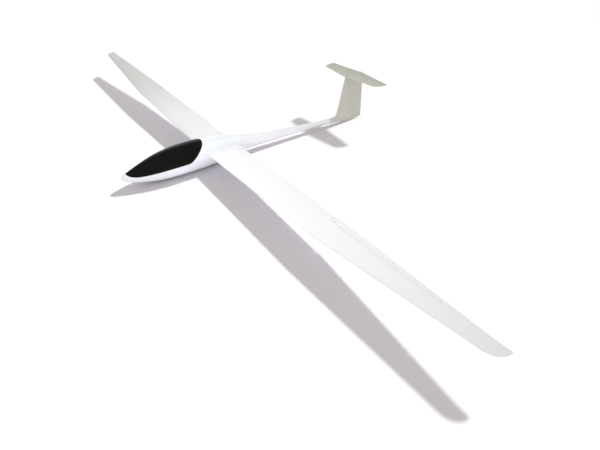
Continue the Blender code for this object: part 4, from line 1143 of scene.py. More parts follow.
@dataclass(frozen=True)
class Pod:
    """The fuselage's shape: upright ovals that follow a table of stations."""

    nose_y: float = -0.3325
    boom_end_y: float = 0.6800
    wall: float = 0.0020
    cabin_front_y: float = -0.3000
    cabin_rear_y: float = 0.1100
    nose_round: float = 0.0060
    nose_drop: float = 0.2
    nose_steps: int = 8
    nose_share: float = 0.002
    tip_shares: tuple[float, ...] = (0.0008, 0.004, 0.010)
    pod_rear_y: float = 0.1500
    pod_steps: int = 78
    boom_steps: int = 27
    least_step: float = 0.0015
    sides: int = 96

    # Place along the fuselage, half width, bottom height, top height
    stations: tuple[tuple[float, ...], ...] = (
        (-0.3325, 0.0030, 0.0500, 0.0560),
        (-0.3250, 0.0115, 0.0430, 0.0615),
        (-0.3000, 0.0225, 0.0295, 0.0715),
        (-0.2500, 0.0380, 0.0155, 0.0900),
        (-0.1800, 0.0530, 0.0045, 0.1105),
        (-0.1000, 0.0600, 0.0020, 0.1210),
        (-0.0400, 0.0600, 0.0020, 0.1225),
        (0.0200, 0.0550, 0.0032, 0.1190),
        (0.0800, 0.0430, 0.0075, 0.1115),
        (0.1460, 0.0300, 0.0150, 0.1000),
        (0.2500, 0.0200, 0.0218, 0.0770),
        (0.4500, 0.0145, 0.0205, 0.0550),
        (0.6800, 0.0115, 0.0130, 0.0405),
    )

    @property
    def half_width(self) -> float:
        """The pod's greatest half width."""
        return max(row[1] for row in self.stations)

    def oval(self, y: float) -> tuple[float, float, float]:
        """Half width, middle height and half height at a place, with a rounded nose.

        Args:
            y: The place along the fuselage.

        Returns:
            The three values.
        """
        end = self.nose_y + self.nose_round
        half_width, low, high = through(self.stations, max(y, end))
        middle, half_height = (low + high) / 2, (high - low) / 2
        if y >= end:
            return half_width, middle, half_height
        small = 1e-5
        wide, below, above = through(self.stations, end + small)
        share = max(0.0, y - self.nose_y) / self.nose_round
        rounded = []
        for value, after in ((half_width, wide), (half_height, (above - below) / 2)):
            slope = (after - value) / small * self.nose_round
            root = 2 * (value - slope)
            rounded.append(root * math.sqrt(share) + (value - root) * share)
        return rounded[0], middle + (share - 1) * self.nose_round * self.nose_drop, rounded[1]

    def ring(self, y: float, inset: float = 0.0) -> Ring:
        """A section of the fuselage, pulled in by the inset."""
        half_width, middle, half_height = self.oval(y)
        return oval_ring(y, half_width - inset, middle, half_height - inset, self.sides)

    def places(self, start: float, end: float) -> list[float]:
        """Places of the sections: close together at the nose and round the pod, wider on the boom."""
        shares = [self.nose_share] + [(k / self.nose_steps) ** 2 for k in range(1, self.nose_steps + 1)]
        nose = [self.nose_y + self.nose_round * share for share in shares]
        pod = steps(nose[-1], self.pod_rear_y, self.pod_steps)[1:]
        boom = steps(self.pod_rear_y, self.boom_end_y, self.boom_steps)[1:]
        low, high = start + self.least_step, end - self.least_step
        return [start] + [y for y in nose + pod + boom if low < y < high] + [end]

    def rings(self, start: float, end: float, inset: float = 0.0) -> list[Ring]:
        """The sections between two places."""
        if start > self.nose_y:
            return [self.ring(y, inset) for y in self.places(start, end)]
        tip = [self.nose_y + self.nose_round * share for share in self.tip_shares]
        return [self.ring(y, inset) for y in tip + self.places(tip[-1], end)[1:]]

    def side_x(self, y: float, z: float) -> float:
        """Half width of the outer skin at a place and height."""
        half_width, middle, half_height = self.oval(y)
        return half_width * math.sqrt(max(0.0, 1 - ((z - middle) / half_height) ** 2))

    def floor_z(self, x: float, y: float) -> float:
        """Height of the cabin's floor at a place."""
        half_width, middle, half_height = self.oval(y)
        share = x / (half_width - self.wall)
        return middle - (half_height - self.wall) * math.sqrt(1 - share**2)


@dataclass(frozen=True)
class WingShape:
    """The wing's outline, dihedral and section."""

    pod: Pod = Pod()
    span: float = 2.500
    fairing_width: float = 0.0040
    root_z: float = 0.0690
    break_x: float = 0.6550
    tip_length: float = 0.0450
    inner_dihedral: float = 1.92
    outer_dihedral: float = 3.28
    root_chord: float = 0.1460
    break_leading_y: float = 0.0020
    break_chord: float = 0.1240
    trailing_step: float = 0.0035
    tip_leading_y: float = 0.0380
    tip_chord: float = 0.0510
    tip_trailing_y: float = 0.0890
    tip_end_chord: float = 0.0050
    bridge: float = 0.0080
    camber: float = 0.018
    thickness: float = 0.108

    @property
    def half_span(self) -> float:
        """Half of the span."""
        return self.span / 2

    @property
    def tip_start_x(self) -> float:
        """Where the rounded tip starts."""
        return self.half_span - self.tip_length

    @property
    def root_x(self) -> float:
        """Where the wing panel starts."""
        return self.pod.half_width + self.fairing_width

    def values(self, x: float) -> tuple[float, float, float]:
        """Leading edge y, its height and the chord at a distance from the middle.

        Args:
            x: The distance from the middle.

        Returns:
            The three values.
        """
        inner = math.tan(math.radians(self.inner_dihedral))
        outer = math.tan(math.radians(self.outer_dihedral))
        if x <= self.break_x:
            share = x / self.break_x
            chord = between(self.root_chord, self.break_chord, share)
            return between(0.0, self.break_leading_y, share), self.root_z + x * inner, chord
        height = self.root_z + self.break_x * inner + (x - self.break_x) * outer
        share = (x - self.break_x) / (self.tip_start_x - self.break_x)
        leading = between(self.break_leading_y, self.tip_leading_y, share)
        tip_trailing = self.tip_leading_y + self.tip_chord
        if x <= self.tip_start_x:
            step = self.trailing_step * min(1.0, (x - self.break_x) / self.bridge) * (1 - share)
            trailing = between(self.break_leading_y + self.break_chord, tip_trailing, share) + step
            return leading, height, trailing - leading
        out = (x - self.tip_start_x) / self.tip_length
        trailing = between(tip_trailing, self.tip_trailing_y, out)
        rim = math.sqrt(max(0.0, 1 - out**2))
        chord = between(self.tip_end_chord, trailing - leading, rim)
        return trailing - chord, height, chord

    def section(self, x: float) -> Section:
        """The section at a distance from the middle."""
        return Section(self.values(x)[2], self.thickness, self.camber)

    def at(self, x: float, side: Side, outline: Outline) -> Ring:
        """Places a section's outline at a distance from the middle."""
        leading, height, _ = self.values(x)
        return [Vector((side.value * x, leading + u, height + v)) for u, v in outline]

    def foil(self, x: float, side: Side) -> Ring:
        """The whole section at a distance from the middle."""
        return self.at(x, side, self.section(x).outline())

    def on_skin(self, x: float, share: float, face: Face, side: Side = Side.LEFT) -> Vector:
        """A place on the upper or lower skin."""
        leading, height, chord = self.values(x)
        rise = self.section(x).rise(share, face.value)
        return Vector((side.value * x, leading + share * chord, height + rise))

    def middle_z(self, x: float, y: float) -> float:
        """Height of the mean line at a place."""
        leading, height, chord = self.values(x)
        return height + self.section(x).rise((y - leading) / chord, 0)

    def joiner_line(self, reach: float) -> list[Vector]:
        """The joiner tube's three points, bent at the middle to the inner dihedral."""
        y = Joiner.place_y
        middle = self.middle_z(0.0, y)
        end = middle + reach * math.tan(math.radians(self.inner_dihedral))
        return [Vector((reach, y, end)), Vector((0.0, y, middle)), Vector((-reach, y, end))]

    def pin_line(self, side: Side, start: float, end: float) -> list[Vector]:
        """The line of the alignment pin between the root fairing and a wing."""
        y = Joiner.pin_y
        return [Vector((side.value * x, y, self.middle_z(x, y))) for x in (start, end)]


@dataclass(frozen=True)
class CanopyShape:
    """The lift-off canopy in side view, and the solid that it and its opening are cut with."""

    front: tuple[tuple[float, float], ...] = ((-0.3160, 0.0720), (-0.3120, 0.0575), (-0.2700, 0.0559))
    sill: tuple[tuple[float, float], ...] = (
        (-0.2700, 0.0559),
        (-0.2250, 0.0556),
        (-0.1750, 0.0645),
        (-0.0950, 0.0652),
    )
    corner: tuple[float, float] = (-0.0782, 0.0655)
    corner_length: float = 0.0120
    rear_slope: float = 37.5
    rim_width: float = 0.0070
    rim_thickness: float = 0.0020
    top_z: float = 0.1400
    half_width: float = 0.1000

    def outline(self, grow: float) -> Outline:
        """Side view of the volume: front corner, sill, rear corner and rear edge.

        Args:
            grow: How far the outline is moved outwards.

        Returns:
            Its (y, z) points.
        """
        lean = math.radians(self.rear_slope)
        back = Vector((math.cos(lean), math.sin(lean)))
        corner = Vector(self.corner)
        rear = (self.sill[-1], corner, corner + back * self.corner_length)
        line = [Vector((self.front[0][0], self.top_z))]
        for curve, count in ((self.front, 12), (self.sill, 44), (rear, 12)):
            line += [bezier(curve, k / count) for k in range(count)]
        line += [rear[-1], corner + back * (self.top_z - corner.y) / back.y]
        ways = [(second - first).normalized() for first, second in zip(line, line[1:])]
        outline = []
        for point, before, after in zip(line, ways[:1] + ways, ways + ways[-1:]):
            way = (before + after).normalized()
            outward = Vector((way.y, -way.x))
            outline.append(tuple(point + outward * grow / way.dot(after)))
        return outline

    def volume(self, grow: float = 0.0) -> bmesh.types.BMesh:
        """The solid that the canopy or its opening is cut with."""
        return plate(self.outline(grow), 0.0, 2 * self.half_width)


@dataclass(frozen=True)
class Joiner:
    """The carbon tube that carries both wings, and the alignment pins behind it."""

    place_y: float = 0.0450
    radius: float = 0.0040
    reach_x: float = 0.2600
    bore_past_root: float = 0.0200
    end_gap: float = 0.0020
    pin_y: float = 0.1050
    pin_radius: float = 0.0015
    pin_half_length: float = 0.0070
    pin_hole_past_root: float = 0.0100
    rounding: float = 0.0004
    wing: WingShape = WingShape()

    def bore(self, reach: float) -> bmesh.types.BMesh:
        """The solid that the tube's bore is cut with."""
        return bar(self.wing.joiner_line(reach), self.radius + GAPS.seat, 32)

    def pin_hole(self, side: Side, inward: float, outward: float) -> bmesh.types.BMesh:
        """The solid that a pin's hole is cut with."""
        root = self.wing.root_x
        line = self.wing.pin_line(side, root - inward, root + outward)
        return bar(line, self.pin_radius + GAPS.seat, 20)

    def dress(self, bench: Bench) -> None:
        """Makes the tube and the two pins."""
        tube = as_object("carbon_joiner", bar(self.wing.joiner_line(self.reach_x), self.radius, 40))
        soften_edges(tube, self.rounding, CREASES.tube)
        bench.hand_over(tube, CARBON_TUBE, Carrier.AIRFRAME, ["wing_joiner"])
        reach = self.pin_half_length - GAPS.seat
        for side in Side:
            line = self.wing.pin_line(side, self.wing.root_x - reach, self.wing.root_x + reach)
            pin = as_object(f"root_pin_{side.word}", bar(line, self.pin_radius, 24))
            soften_edges(pin, self.rounding, CREASES.tube)
            bench.hand_over(pin, STEEL_WIRE, Carrier.AIRFRAME, [f"alignment_pin_{side.word}"])


@dataclass(frozen=True)
class MainWheel:
    """The half-sunk main wheel and its bracket."""

    pod: Pod = Pod()
    place_y: float = -0.0300
    radius: float = 0.0220
    width: float = 0.0160
    hub_radius: float = 0.0125
    hub_width: float = 0.0130
    hub_boss: float = 0.0025
    hub_edge: float = 0.0015
    hub_dish: float = 0.0020
    hub_fillet: float = 0.0010
    hub_holes: int = 5
    hub_hole_radius: float = 0.0019
    axle_radius: float = 0.0020
    axle_end: float = 0.0020
    collar_radius: float = 0.0038
    collar_thickness: float = 0.0014
    tyre_fullness: float = 0.62
    tyre_points: int = 120
    groove_out: float = 0.0028
    groove_depth: float = 0.0005
    rounding: float = 0.0003
    screw_radius: float = 0.0010
    screw_share: float = 0.33
    sides: int = 32
    side_gap: float = 0.0030
    strip: float = 0.0020
    roof: float = 0.0012
    foot: float = 0.0025
    length: float = 0.0200

    @property
    def centre(self) -> Vector:
        """The wheel's middle."""
        return Vector((0.0, self.place_y, self.radius))

    def dress(self, bench: Bench) -> None:
        """Makes the wheel's pieces."""
        self.dress_tyre(bench)
        self.dress_hub(bench)
        self.dress_axle(bench)
        self.dress_bracket(bench)

    def dress_tyre(self, bench: Bench) -> None:
        """Makes the round-shouldered tyre with two grooves round its tread."""
        rim = self.hub_radius + GAPS.seat
        middle, reach = (rim + self.radius) / 2, (self.radius - rim) / 2
        profile = []
        for turn in whole_turn(self.tyre_points):
            bulge, lean = (
                math.copysign(abs(part) ** self.tyre_fullness, part)
                for part in (math.cos(turn), math.sin(turn))
            )
            across = lean * self.width / 2
            near = (abs(across) - self.groove_out) / self.groove_depth
            groove = self.groove_depth * math.exp(-(near**2)) if bulge > 0.5 else 0.0
            profile.append((middle + reach * bulge - groove, across))
        tyre = as_object("main_tyre", turned(profile, along((1, 0, 0), self.centre), 96))
        bench.hand_over(tyre, TYRE_RUBBER, Carrier.WHEEL, ["wheel_tyre"], CREASES.tyre)

    def dress_hub(self, bench: Bench) -> None:
        """Makes the dished hub with its lightening holes."""
        half, bore = self.hub_width / 2, self.axle_radius + GAPS.axle
        right = [
            (self.hub_radius, half),
            (self.hub_radius - self.hub_edge, half),
            (self.hub_radius - 2 * self.hub_edge, half - self.hub_dish),
            (bore + self.hub_boss + self.hub_fillet, half - self.hub_dish),
            (bore + self.hub_boss, half),
            (bore, half),
        ]
        profile = right + [(radius, -across) for radius, across in reversed(right)]
        hub = as_object("main_hub", turned(profile, along((1, 0, 0), self.centre), 80))
        ring = (self.hub_radius - 2 * self.hub_edge + bore + self.hub_boss + self.hub_fillet) / 2
        holes = []
        for turn in whole_turn(self.hub_holes):
            spot = self.centre + Vector((0, ring * math.cos(turn), ring * math.sin(turn)))
            across = Vector((self.hub_width, 0, 0))
            holes.append(bar([spot - across, spot + across], self.hub_hole_radius, 20))
        carve(hub, together(holes))
        soften_edges(hub, self.rounding)
        bench.hand_over(hub, HUB_NYLON, Carrier.WHEEL, ["wheel_hub"])

    def dress_axle(self, bench: Bench) -> None:
        """Makes the axle with a collar at each end."""
        outer = self.width / 2 + self.side_gap + self.strip
        end = Vector((outer + self.axle_end, 0, 0))
        shapes = [bar([self.centre - end, self.centre + end], self.axle_radius, self.sides)]
        radius, thick, edge = self.collar_radius, self.collar_thickness, self.rounding
        profile = [(0.0, 0.0), (radius - edge, 0.0), (radius, edge)]
        profile += [(radius, thick - edge), (radius - edge, thick), (0.0, thick)]
        for way in (-1, 1):
            seat = self.centre + Vector((way * (outer + GAPS.seat), 0, 0))
            shapes.append(turned(profile, along((way, 0, 0), seat), self.sides))
        axle = as_object("main_axle", together(shapes))
        bench.hand_over(axle, STEEL_WIRE, Carrier.AIRFRAME, ["wheel_axle"])

    def dress_bracket(self, bench: Bench) -> None:
        """Makes the bent bracket over the wheel, with the screws in its feet."""
        inner = self.width / 2 + self.side_gap
        outer = inner + self.strip
        foot = outer + self.foot
        ends = [self.place_y + way * self.length / 2 for way in (-1, 1)]
        low = max(self.pod.floor_z(foot, y) for y in ends) + GAPS.seat
        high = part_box("wheel_bracket")[1][2]
        right = [
            (inner, high - self.roof),
            (inner, low),
            (foot, low),
            (foot, low + self.strip),
            (outer, low + self.strip),
            (outer, high),
        ]
        outline = right + [(-x, z) for x, z in reversed(right)]
        bracket = as_object("main_bracket", skin([[(x, y, z) for x, z in outline] for y in ends]))
        past, bore = (foot + self.axle_end, 0, 0), self.axle_radius + GAPS.axle
        drill(bracket, self.centre, past, bore, self.sides)
        soften_edges(bracket, self.rounding, CREASES.tyre)
        bench.hand_over(bracket, BLACK_PLASTIC, Carrier.AIRFRAME, ["wheel_bracket"])
        heads = []
        for way in (-1, 1):
            for share in (-self.screw_share, self.screw_share):
                x, y = way * (outer + self.foot / 2), self.place_y + share * self.length
                heads.append(screw_head((x, y, low + self.strip), UP, self.screw_radius))
        bench.hand_over(as_object("bracket_screws", together(heads)), DARK_SCREW, Carrier.AIRFRAME)


@dataclass(frozen=True)
class Fuselage:
    """The moulded pod and boom with its wing root fairings."""

    pod: Pod = Pod()
    wing: WingShape = WingShape()
    canopy: CanopyShape = CanopyShape()
    joiner: Joiner = Joiner()
    wheel: MainWheel = MainWheel()
    fairing_inner_x: float = 0.0040
    fillet: float = 0.0060
    fillet_steps: int = 7
    fillet_sections: int = 48
    fillet_last_share: float = 0.985
    fillet_ease: float = 0.22
    fillet_least: float = 0.25
    fillet_margin: float = 0.0004
    root_inset: float = 0.0012
    root_depth: float = 0.0008
    root_share: float = 0.4
    root_least: float = 0.00005
    sunk: float = 0.00012
    well_depth: float = 0.0320

    def fairing(self, side: Side) -> list[Ring]:
        """The sections of a root fairing."""
        return [self.wing.foil(x, side) for x in (self.fairing_inner_x, self.wing.root_x - GAPS.seat)]

    def meeting(self, share: float, face: Face) -> tuple[float, Vector]:
        """Half width and place where the wing's skin meets the pod's at a share of the chord."""
        edge, x = Vector(), self.pod.half_width
        for _ in range(12):
            edge = self.wing.on_skin(x, share, face)
            x = self.pod.side_x(edge.y, edge.z)
        return x, edge

    def outward(self, x: float, share: float, face: Face) -> Vector:
        """The direction straight out of the wing's skin in side view."""
        step = 1e-4
        if share < step / 100:
            return Vector((0.0, -1.0, 0.0))
        before = self.wing.on_skin(x, max(share - step, 0.0), face)
        after = self.wing.on_skin(x, share + step, face)
        run = (after - before).normalized()
        return Vector((0.0, -run.z, run.y)) * face.value

    def fillet_ring(self, share: float, face: Face, side: Side) -> Ring:
        """A section of a fillet: a place inside the fairing, then the curve from pod to fairing.

        Args:
            share: The share of the chord that it lies at.
            face: The wing's skin that it joins.
            side: The model's side.

        Returns:
            The section.
        """
        x, edge = self.meeting(share, face)
        out = self.outward(x, share, face)
        ease = min(1.0, (1 - share) / self.fillet_ease)
        room = self.wing.root_x - GAPS.seat - self.fillet_margin - x
        radius = min(self.fillet * between(self.fillet_least, 1.0, ease), room)
        foot = edge + out * radius
        start = Vector((self.pod.side_x(foot.y, foot.z) - self.sunk, foot.y, foot.z))
        end = self.wing.on_skin(x + radius, share, face) - out * self.sunk
        corner = Vector((x - self.sunk, edge.y, edge.z)) - out * self.sunk
        half = self.wing.section(x).half(share)
        depth = min(self.root_depth, self.root_share * half + self.root_least)
        inside = Vector((x - self.root_inset, edge.y, edge.z)) - out * depth
        curve = [bezier((start, corner, end), t) for t in steps(0.0, 1.0, self.fillet_steps)]
        return [Vector((side.value * spot.x, spot.y, spot.z)) for spot in [inside, *curve]]

    def fillet_rings(self, side: Side) -> list[Ring]:
        """Sections of a fillet, from the upper trailing edge round the nose to the lower one."""
        shares = eased(self.fillet_sections)
        walk = [(share, Face.UPPER) for share in shares[::-1]]
        walk += [(share, Face.LOWER) for share in shares[1:]]
        last, least = self.fillet_last_share, 1e-5
        rings = [self.fillet_ring(min(share, last), face, side) for share, face in walk]
        moved = [(ring[1] - before[1]).length > least for before, ring in zip(rings, rings[1:])]
        return rings[:1] + [ring for ring, apart in zip(rings[1:], moved) if apart]

    def dress(self, bench: Bench) -> None:
        """Makes the fuselage moulding."""
        pod = self.pod
        whole = pod.rings(pod.nose_y, pod.boom_end_y)
        moulding = as_object("fuselage_moulding", skin(whole))
        guides = [open_skin(whole)]
        fillets = [self.fillet_rings(side) for side in Side]
        carve(moulding, together(skin(rings) for rings in fillets), Cut.TOGETHER)
        carve(moulding, together(skin(self.fairing(side)) for side in Side), Cut.TOGETHER)
        guides += [open_skin(self.fairing(side)) for side in Side]
        guides += [open_skin([ring[1:] for ring in rings]) for rings in fillets]
        room = pod.rings(pod.cabin_front_y, pod.cabin_rear_y, pod.wall)
        carve(moulding, skin(room))
        guides.append(open_skin(room, inward=True))
        carve(moulding, self.canopy.volume(GAPS.canopy))
        wheel, joiner = self.wheel, self.joiner
        width, length = wheel.width + 2 * GAPS.wheel, 2 * (wheel.radius + GAPS.wheel)
        well = block((0, wheel.place_y, 0), (width, length, 2 * self.well_depth))
        reaches = (joiner.pin_half_length, joiner.pin_hole_past_root)
        holes = [joiner.pin_hole(side, *reaches) for side in Side]
        bore = joiner.bore(self.wing.root_x + joiner.bore_past_root)
        carve(moulding, together([well, bore, *holes]))
        crease = CREASES.moulding
        bench.hand_over(moulding, GLOSS_MOULDING, Carrier.AIRFRAME, ["fuselage"], crease, guides)


@dataclass(frozen=True)
class Canopy:
    """The lift-off canopy: the black moulding and the stiff rim bonded under its edge."""

    pod: Pod = Pod()
    shape: CanopyShape = CanopyShape()

    def dress(self, bench: Bench) -> None:
        """Makes the moulding and its rim."""
        pod = self.pod
        whole = pod.rings(pod.nose_y, pod.boom_end_y)
        room = pod.rings(pod.cabin_front_y, pod.cabin_rear_y, pod.wall)
        moulding = as_object("canopy_moulding", skin(whole))
        carve(moulding, self.shape.volume(), Cut.SHARED)
        carve(moulding, skin(room))
        guides, crease = [open_skin(whole), open_skin(room, inward=True)], CREASES.moulding
        bench.hand_over(moulding, CANOPY_MOULDING, Carrier.CANOPY, ["canopy_glass"], crease, guides)
        outer = pod.rings(pod.cabin_front_y + GAPS.seat, pod.cabin_rear_y, pod.wall + GAPS.seat)
        inset = pod.wall + GAPS.seat + self.shape.rim_thickness
        start, end = pod.cabin_front_y + self.shape.rim_width, pod.cabin_rear_y + pod.wall
        inner = pod.rings(start, end, inset)
        rim = as_object("canopy_rim", skin(outer))
        carve(rim, self.shape.volume(), Cut.SHARED)
        carve(rim, skin(inner))
        carve(rim, self.shape.volume(-self.shape.rim_width))
        guides = [open_skin(outer), open_skin(inner, inward=True)]
        bench.hand_over(rim, BLACK_PLASTIC, Carrier.CANOPY, ["canopy_frame"], crease, guides)


@dataclass(frozen=True)
class ControlSurface:
    """A flap or an aileron, hinged in the wing's upper skin."""

    kind: str
    inner_x: float
    outer_x: float
    hinge: float
    bevel: float
    servo_x: float
    wing: WingShape = WingShape()
    room: float = 0.0500
    rounding: float = 0.0004
    section_step: float = 0.0400

    def body(self, side: Side) -> Carrier:
        """The body that the surface is."""
        return Carrier(f"{self.kind}_{side.word}")

    def room_solid(self, side: Side) -> bmesh.types.BMesh:
        """The solid that the surface's room in the wing is cut with."""
        rings = []
        for x in (self.inner_x - GAPS.end, self.outer_x + GAPS.end):
            chord = self.wing.values(x)[2]
            front, far, high = self.hinge * chord - GAPS.hinge, chord + self.room, self.room
            corners = [(front, high), (front, -high), (far, -high), (far, high)]
            rings.append(self.wing.at(x, side, corners))
        return skin(rings)

    def rings(self, side: Side) -> list[Ring]:
        """The surface's sections."""
        count = max(2, round((self.outer_x - self.inner_x) / self.section_step))
        rings = []
        for x in steps(self.inner_x, self.outer_x, count):
            outline = self.wing.section(x).bevelled(self.hinge, self.bevel)
            rings.append(self.wing.at(x, side, outline))
        return rings

    def dress(self, bench: Bench, side: Side) -> None:
        """Makes the surface."""
        surface = as_object(f"{self.kind}_panel_{side.word}", skin(self.rings(side)))
        soften_edges(surface, self.rounding, CREASES.usual, 3)
        stands_for = [f"{self.kind}_{side.word}"]
        bench.hand_over(surface, WING_FOAM, self.body(side), stands_for, CREASES.panel)


@dataclass(frozen=True)
class WingPanel:
    """A foam wing panel with its bores, control surfaces and servo pockets."""

    wing: WingShape = WingShape()
    joiner: Joiner = Joiner()
    root_margin: float = 0.0160
    tip_margin: float = 0.1370
    flap_hinge: float = 0.780
    aileron_hinge: float = 0.755
    flap_bevel: float = 48.0
    aileron_bevel: float = 18.0
    flap_servo_past_joiner: float = 0.0600
    aileron_servo_past_break: float = 0.1450
    section_step: float = 0.0300
    tip_steps: int = 18

    def controls(self) -> tuple[ControlSurface, ControlSurface]:
        """The panel's flap and aileron."""
        wing = self.wing
        flap = ControlSurface(
            "flap",
            wing.root_x + self.root_margin,
            wing.break_x - wing.bridge,
            self.flap_hinge,
            self.flap_bevel,
            self.joiner.reach_x + self.flap_servo_past_joiner,
        )
        aileron = ControlSurface(
            "aileron",
            wing.break_x + wing.bridge,
            wing.tip_start_x - self.tip_margin,
            self.aileron_hinge,
            self.aileron_bevel,
            wing.break_x + self.aileron_servo_past_break,
        )
        return flap, aileron

    def places(self) -> list[float]:
        """Where the panel's sections are."""
        wing = self.wing
        start = wing.break_x + wing.bridge
        places = []
        for low, high in ((wing.root_x, wing.break_x), (start, wing.tip_start_x)):
            places += steps(low, high, round((high - low) / self.section_step))
        rim = [math.sin(math.radians(turn)) for turn in steps(0.0, 90.0, self.tip_steps)][1:]
        return places + [between(wing.tip_start_x, wing.half_span, out) for out in rim]

    def dress(self, bench: Bench, side: Side) -> None:
        """Makes the panel with its surfaces and linkages."""
        rings = [self.wing.foil(x, side) for x in self.places()]
        panel = as_object(f"wing_panel_{side.word}", skin(rings))
        guides = [open_skin(rings)]
        joiner = self.joiner
        bore = joiner.bore(joiner.reach_x + joiner.end_gap)
        hole = joiner.pin_hole(side, joiner.pin_hole_past_root, joiner.pin_half_length)
        controls = self.controls()
        rooms = [control.room_solid(side) for control in controls]
        linkages = [WingLinkage(control) for control in controls]
        pockets = [linkage.pocket(side) for linkage in linkages]
        carve(panel, together([bore, hole, *rooms, *pockets]))
        stands_for = [f"wing_{side.word}"]
        bench.hand_over(panel, WING_FOAM, Carrier.AIRFRAME, stands_for, CREASES.moulding, guides)
        for control, linkage in zip(controls, linkages):
            control.dress(bench, side)
            linkage.dress(bench, side)


@dataclass(frozen=True)
class WingLinkage:
    """A servo let into the wing's underside, its arm, the rod and the horn on the surface."""

    control: ControlSurface
    servo_length: float = 0.0230
    servo_width: float = 0.0120
    servo_depth: float = 0.0090
    stand: float = 0.0015
    share: float = 0.36
    arm_from_middle: float = 0.0058
    arm_base: float = 0.0055
    arm_root: float = 0.0010
    hole_depth: float = 0.0072
    horn_base: float = 0.0110
    behind_bevel: float = 0.0015
    hole_behind_hinge: float = 0.0010
    hole_radius: float = 0.0009
    cover_thickness: float = 0.0012
    seam: float = 0.0003
    neck: tuple[float, float] = (0.0, 3.0)
    cover_edge: float = 0.0003
    case_edge: float = 0.0006
    screw_radius: float = 0.0008
    screw_inset: float = 0.0017
    screw_sunk: float = 0.0003
    horn_screw_radius: float = 0.0009
    horn_screw_side: float = 0.32
    horn_screw_shares: tuple[float, float] = (0.22, 0.78)
    bend_radius: float = 0.00096

    def seat(self) -> Vector:
        """The place on the lower skin over the servo's middle, on the left side."""
        return self.control.wing.on_skin(self.control.servo_x, self.share, Face.LOWER)

    def centre(self, side: Side) -> Vector:
        """The servo's middle."""
        seat = self.seat()
        base = seat.z - self.stand
        return Vector((side.value * self.control.servo_x, seat.y, base + self.servo_depth / 2))

    def pocket(self, side: Side) -> bmesh.types.BMesh:
        """The solid that the servo's pocket is cut with."""
        grow = 2 * GAPS.seat
        size = (self.servo_width + grow, self.servo_length + grow, self.servo_depth + grow)
        return block(self.centre(side), size)

    def arm_hole(self) -> tuple[float, float]:
        """The (y, z) place of the hole in the servo's arm."""
        return self.seat().y + self.arm_from_middle, self.seat().z - self.hole_depth

    def horn_hole(self) -> tuple[float, float]:
        """The (y, z) place of the hole in the horn."""
        control = self.control
        hinge = control.wing.on_skin(control.servo_x, control.hinge, Face.UPPER)
        below = control.wing.on_skin(control.servo_x, control.hinge, Face.LOWER)
        return hinge.y + self.hole_behind_hinge, below.z - self.hole_depth

    def drilled(self, name: str, outline: Outline, x: float, hole: Sequence[float]) -> bpy.types.Object:
        """A lug across the model with its hole drilled."""
        thick = FITTINGS.lug_thickness
        piece = as_object(name, plate(outline, x, thick, FITTINGS.lug_edge))
        drill(piece, (x, *hole), (thick, 0, 0), self.hole_radius)
        return piece

    def dress(self, bench: Bench, side: Side) -> None:
        """Makes the linkage's pieces."""
        self.dress_servo(bench, side)
        self.dress_horn(bench, side)
        self.dress_rod(bench, side)

    def dress_servo(self, bench: Bench, side: Side) -> None:
        """Makes the servo: its case, its screwed cover and its arm."""
        kind, word = self.control.kind, side.word
        x, y, _ = self.centre(side)
        base_z = self.seat().z - self.stand
        wide, long = self.servo_width, self.servo_length
        size, edges = (wide, long, self.servo_depth), (self.cover_edge, self.case_edge)
        shells = two_shells((x, y, base_z), size, self.cover_thickness, self.seam, edges, self.neck)
        case = as_object(f"{kind}_servo_case_{word}", together(shells))
        bench.hand_over(case, SERVO_CASE, Carrier.AIRFRAME, [f"{kind}_servo_{word}"])
        u, v = wide / 2 - self.screw_inset, long / 2 - self.screw_inset
        corners = [(x + i * u, y + j * v) for i in (-1, 1) for j in (-1, 1)]
        spots = [(*corner, base_z + self.screw_sunk) for corner in corners]
        heads = together(screw_head(spot, DOWN, self.screw_radius) for spot in spots)
        bench.hand_over(as_object(f"{kind}_servo_screws_{word}", heads), DARK_SCREW, Carrier.AIRFRAME)
        hole = self.arm_hole()
        ends = [(hole[0] + way * self.arm_base / 2, base_z + self.arm_root) for way in (-1, 1)]
        outline = lug(*ends, hole, FITTINGS.tip_radius)
        arm = self.drilled(f"{kind}_servo_arm_{word}", outline, x, hole)
        bench.hand_over(arm, HORN_NYLON, Carrier.AIRFRAME)

    def dress_horn(self, bench: Bench, side: Side) -> None:
        """Makes the horn: its lug and the base plate that is screwed to the surface."""
        control = self.control
        kind, word, body = control.kind, side.word, control.body(side)
        wing, x = control.wing, control.servo_x
        chord = wing.values(x)[2]
        foot = wing.section(x).bevel_foot(control.hinge, control.bevel)
        reaches = (self.behind_bevel, self.behind_bevel + self.horn_base)
        seats = [wing.on_skin(x, foot + reach / chord, Face.LOWER) for reach in reaches]
        front, rear = ((seat.y, seat.z - GAPS.seat) for seat in seats)
        under = [(y, z - FITTINGS.base_thickness) for y, z in (rear, front)]
        place, hole, width = side.value * x, self.horn_hole(), FITTINGS.base_width
        outline = lug(front, rear, hole, FITTINGS.tip_radius)
        horn = self.drilled(f"{kind}_horn_lug_{word}", outline, place, hole)
        base = plate([front, rear, *under], place, width, FITTINGS.lug_edge)
        carve(horn, base, Cut.TOGETHER)
        bench.hand_over(horn, HORN_NYLON, body, [f"{kind}_horn_{word}"])
        heads = []
        for across in (-self.horn_screw_side, self.horn_screw_side):
            for share in self.horn_screw_shares:
                spot = Vector(under[1]).lerp(Vector(under[0]), share)
                heads.append(screw_head((place + across * width, *spot), DOWN, self.horn_screw_radius))
        bench.hand_over(as_object(f"{kind}_horn_screws_{word}", together(heads)), DARK_SCREW, body)

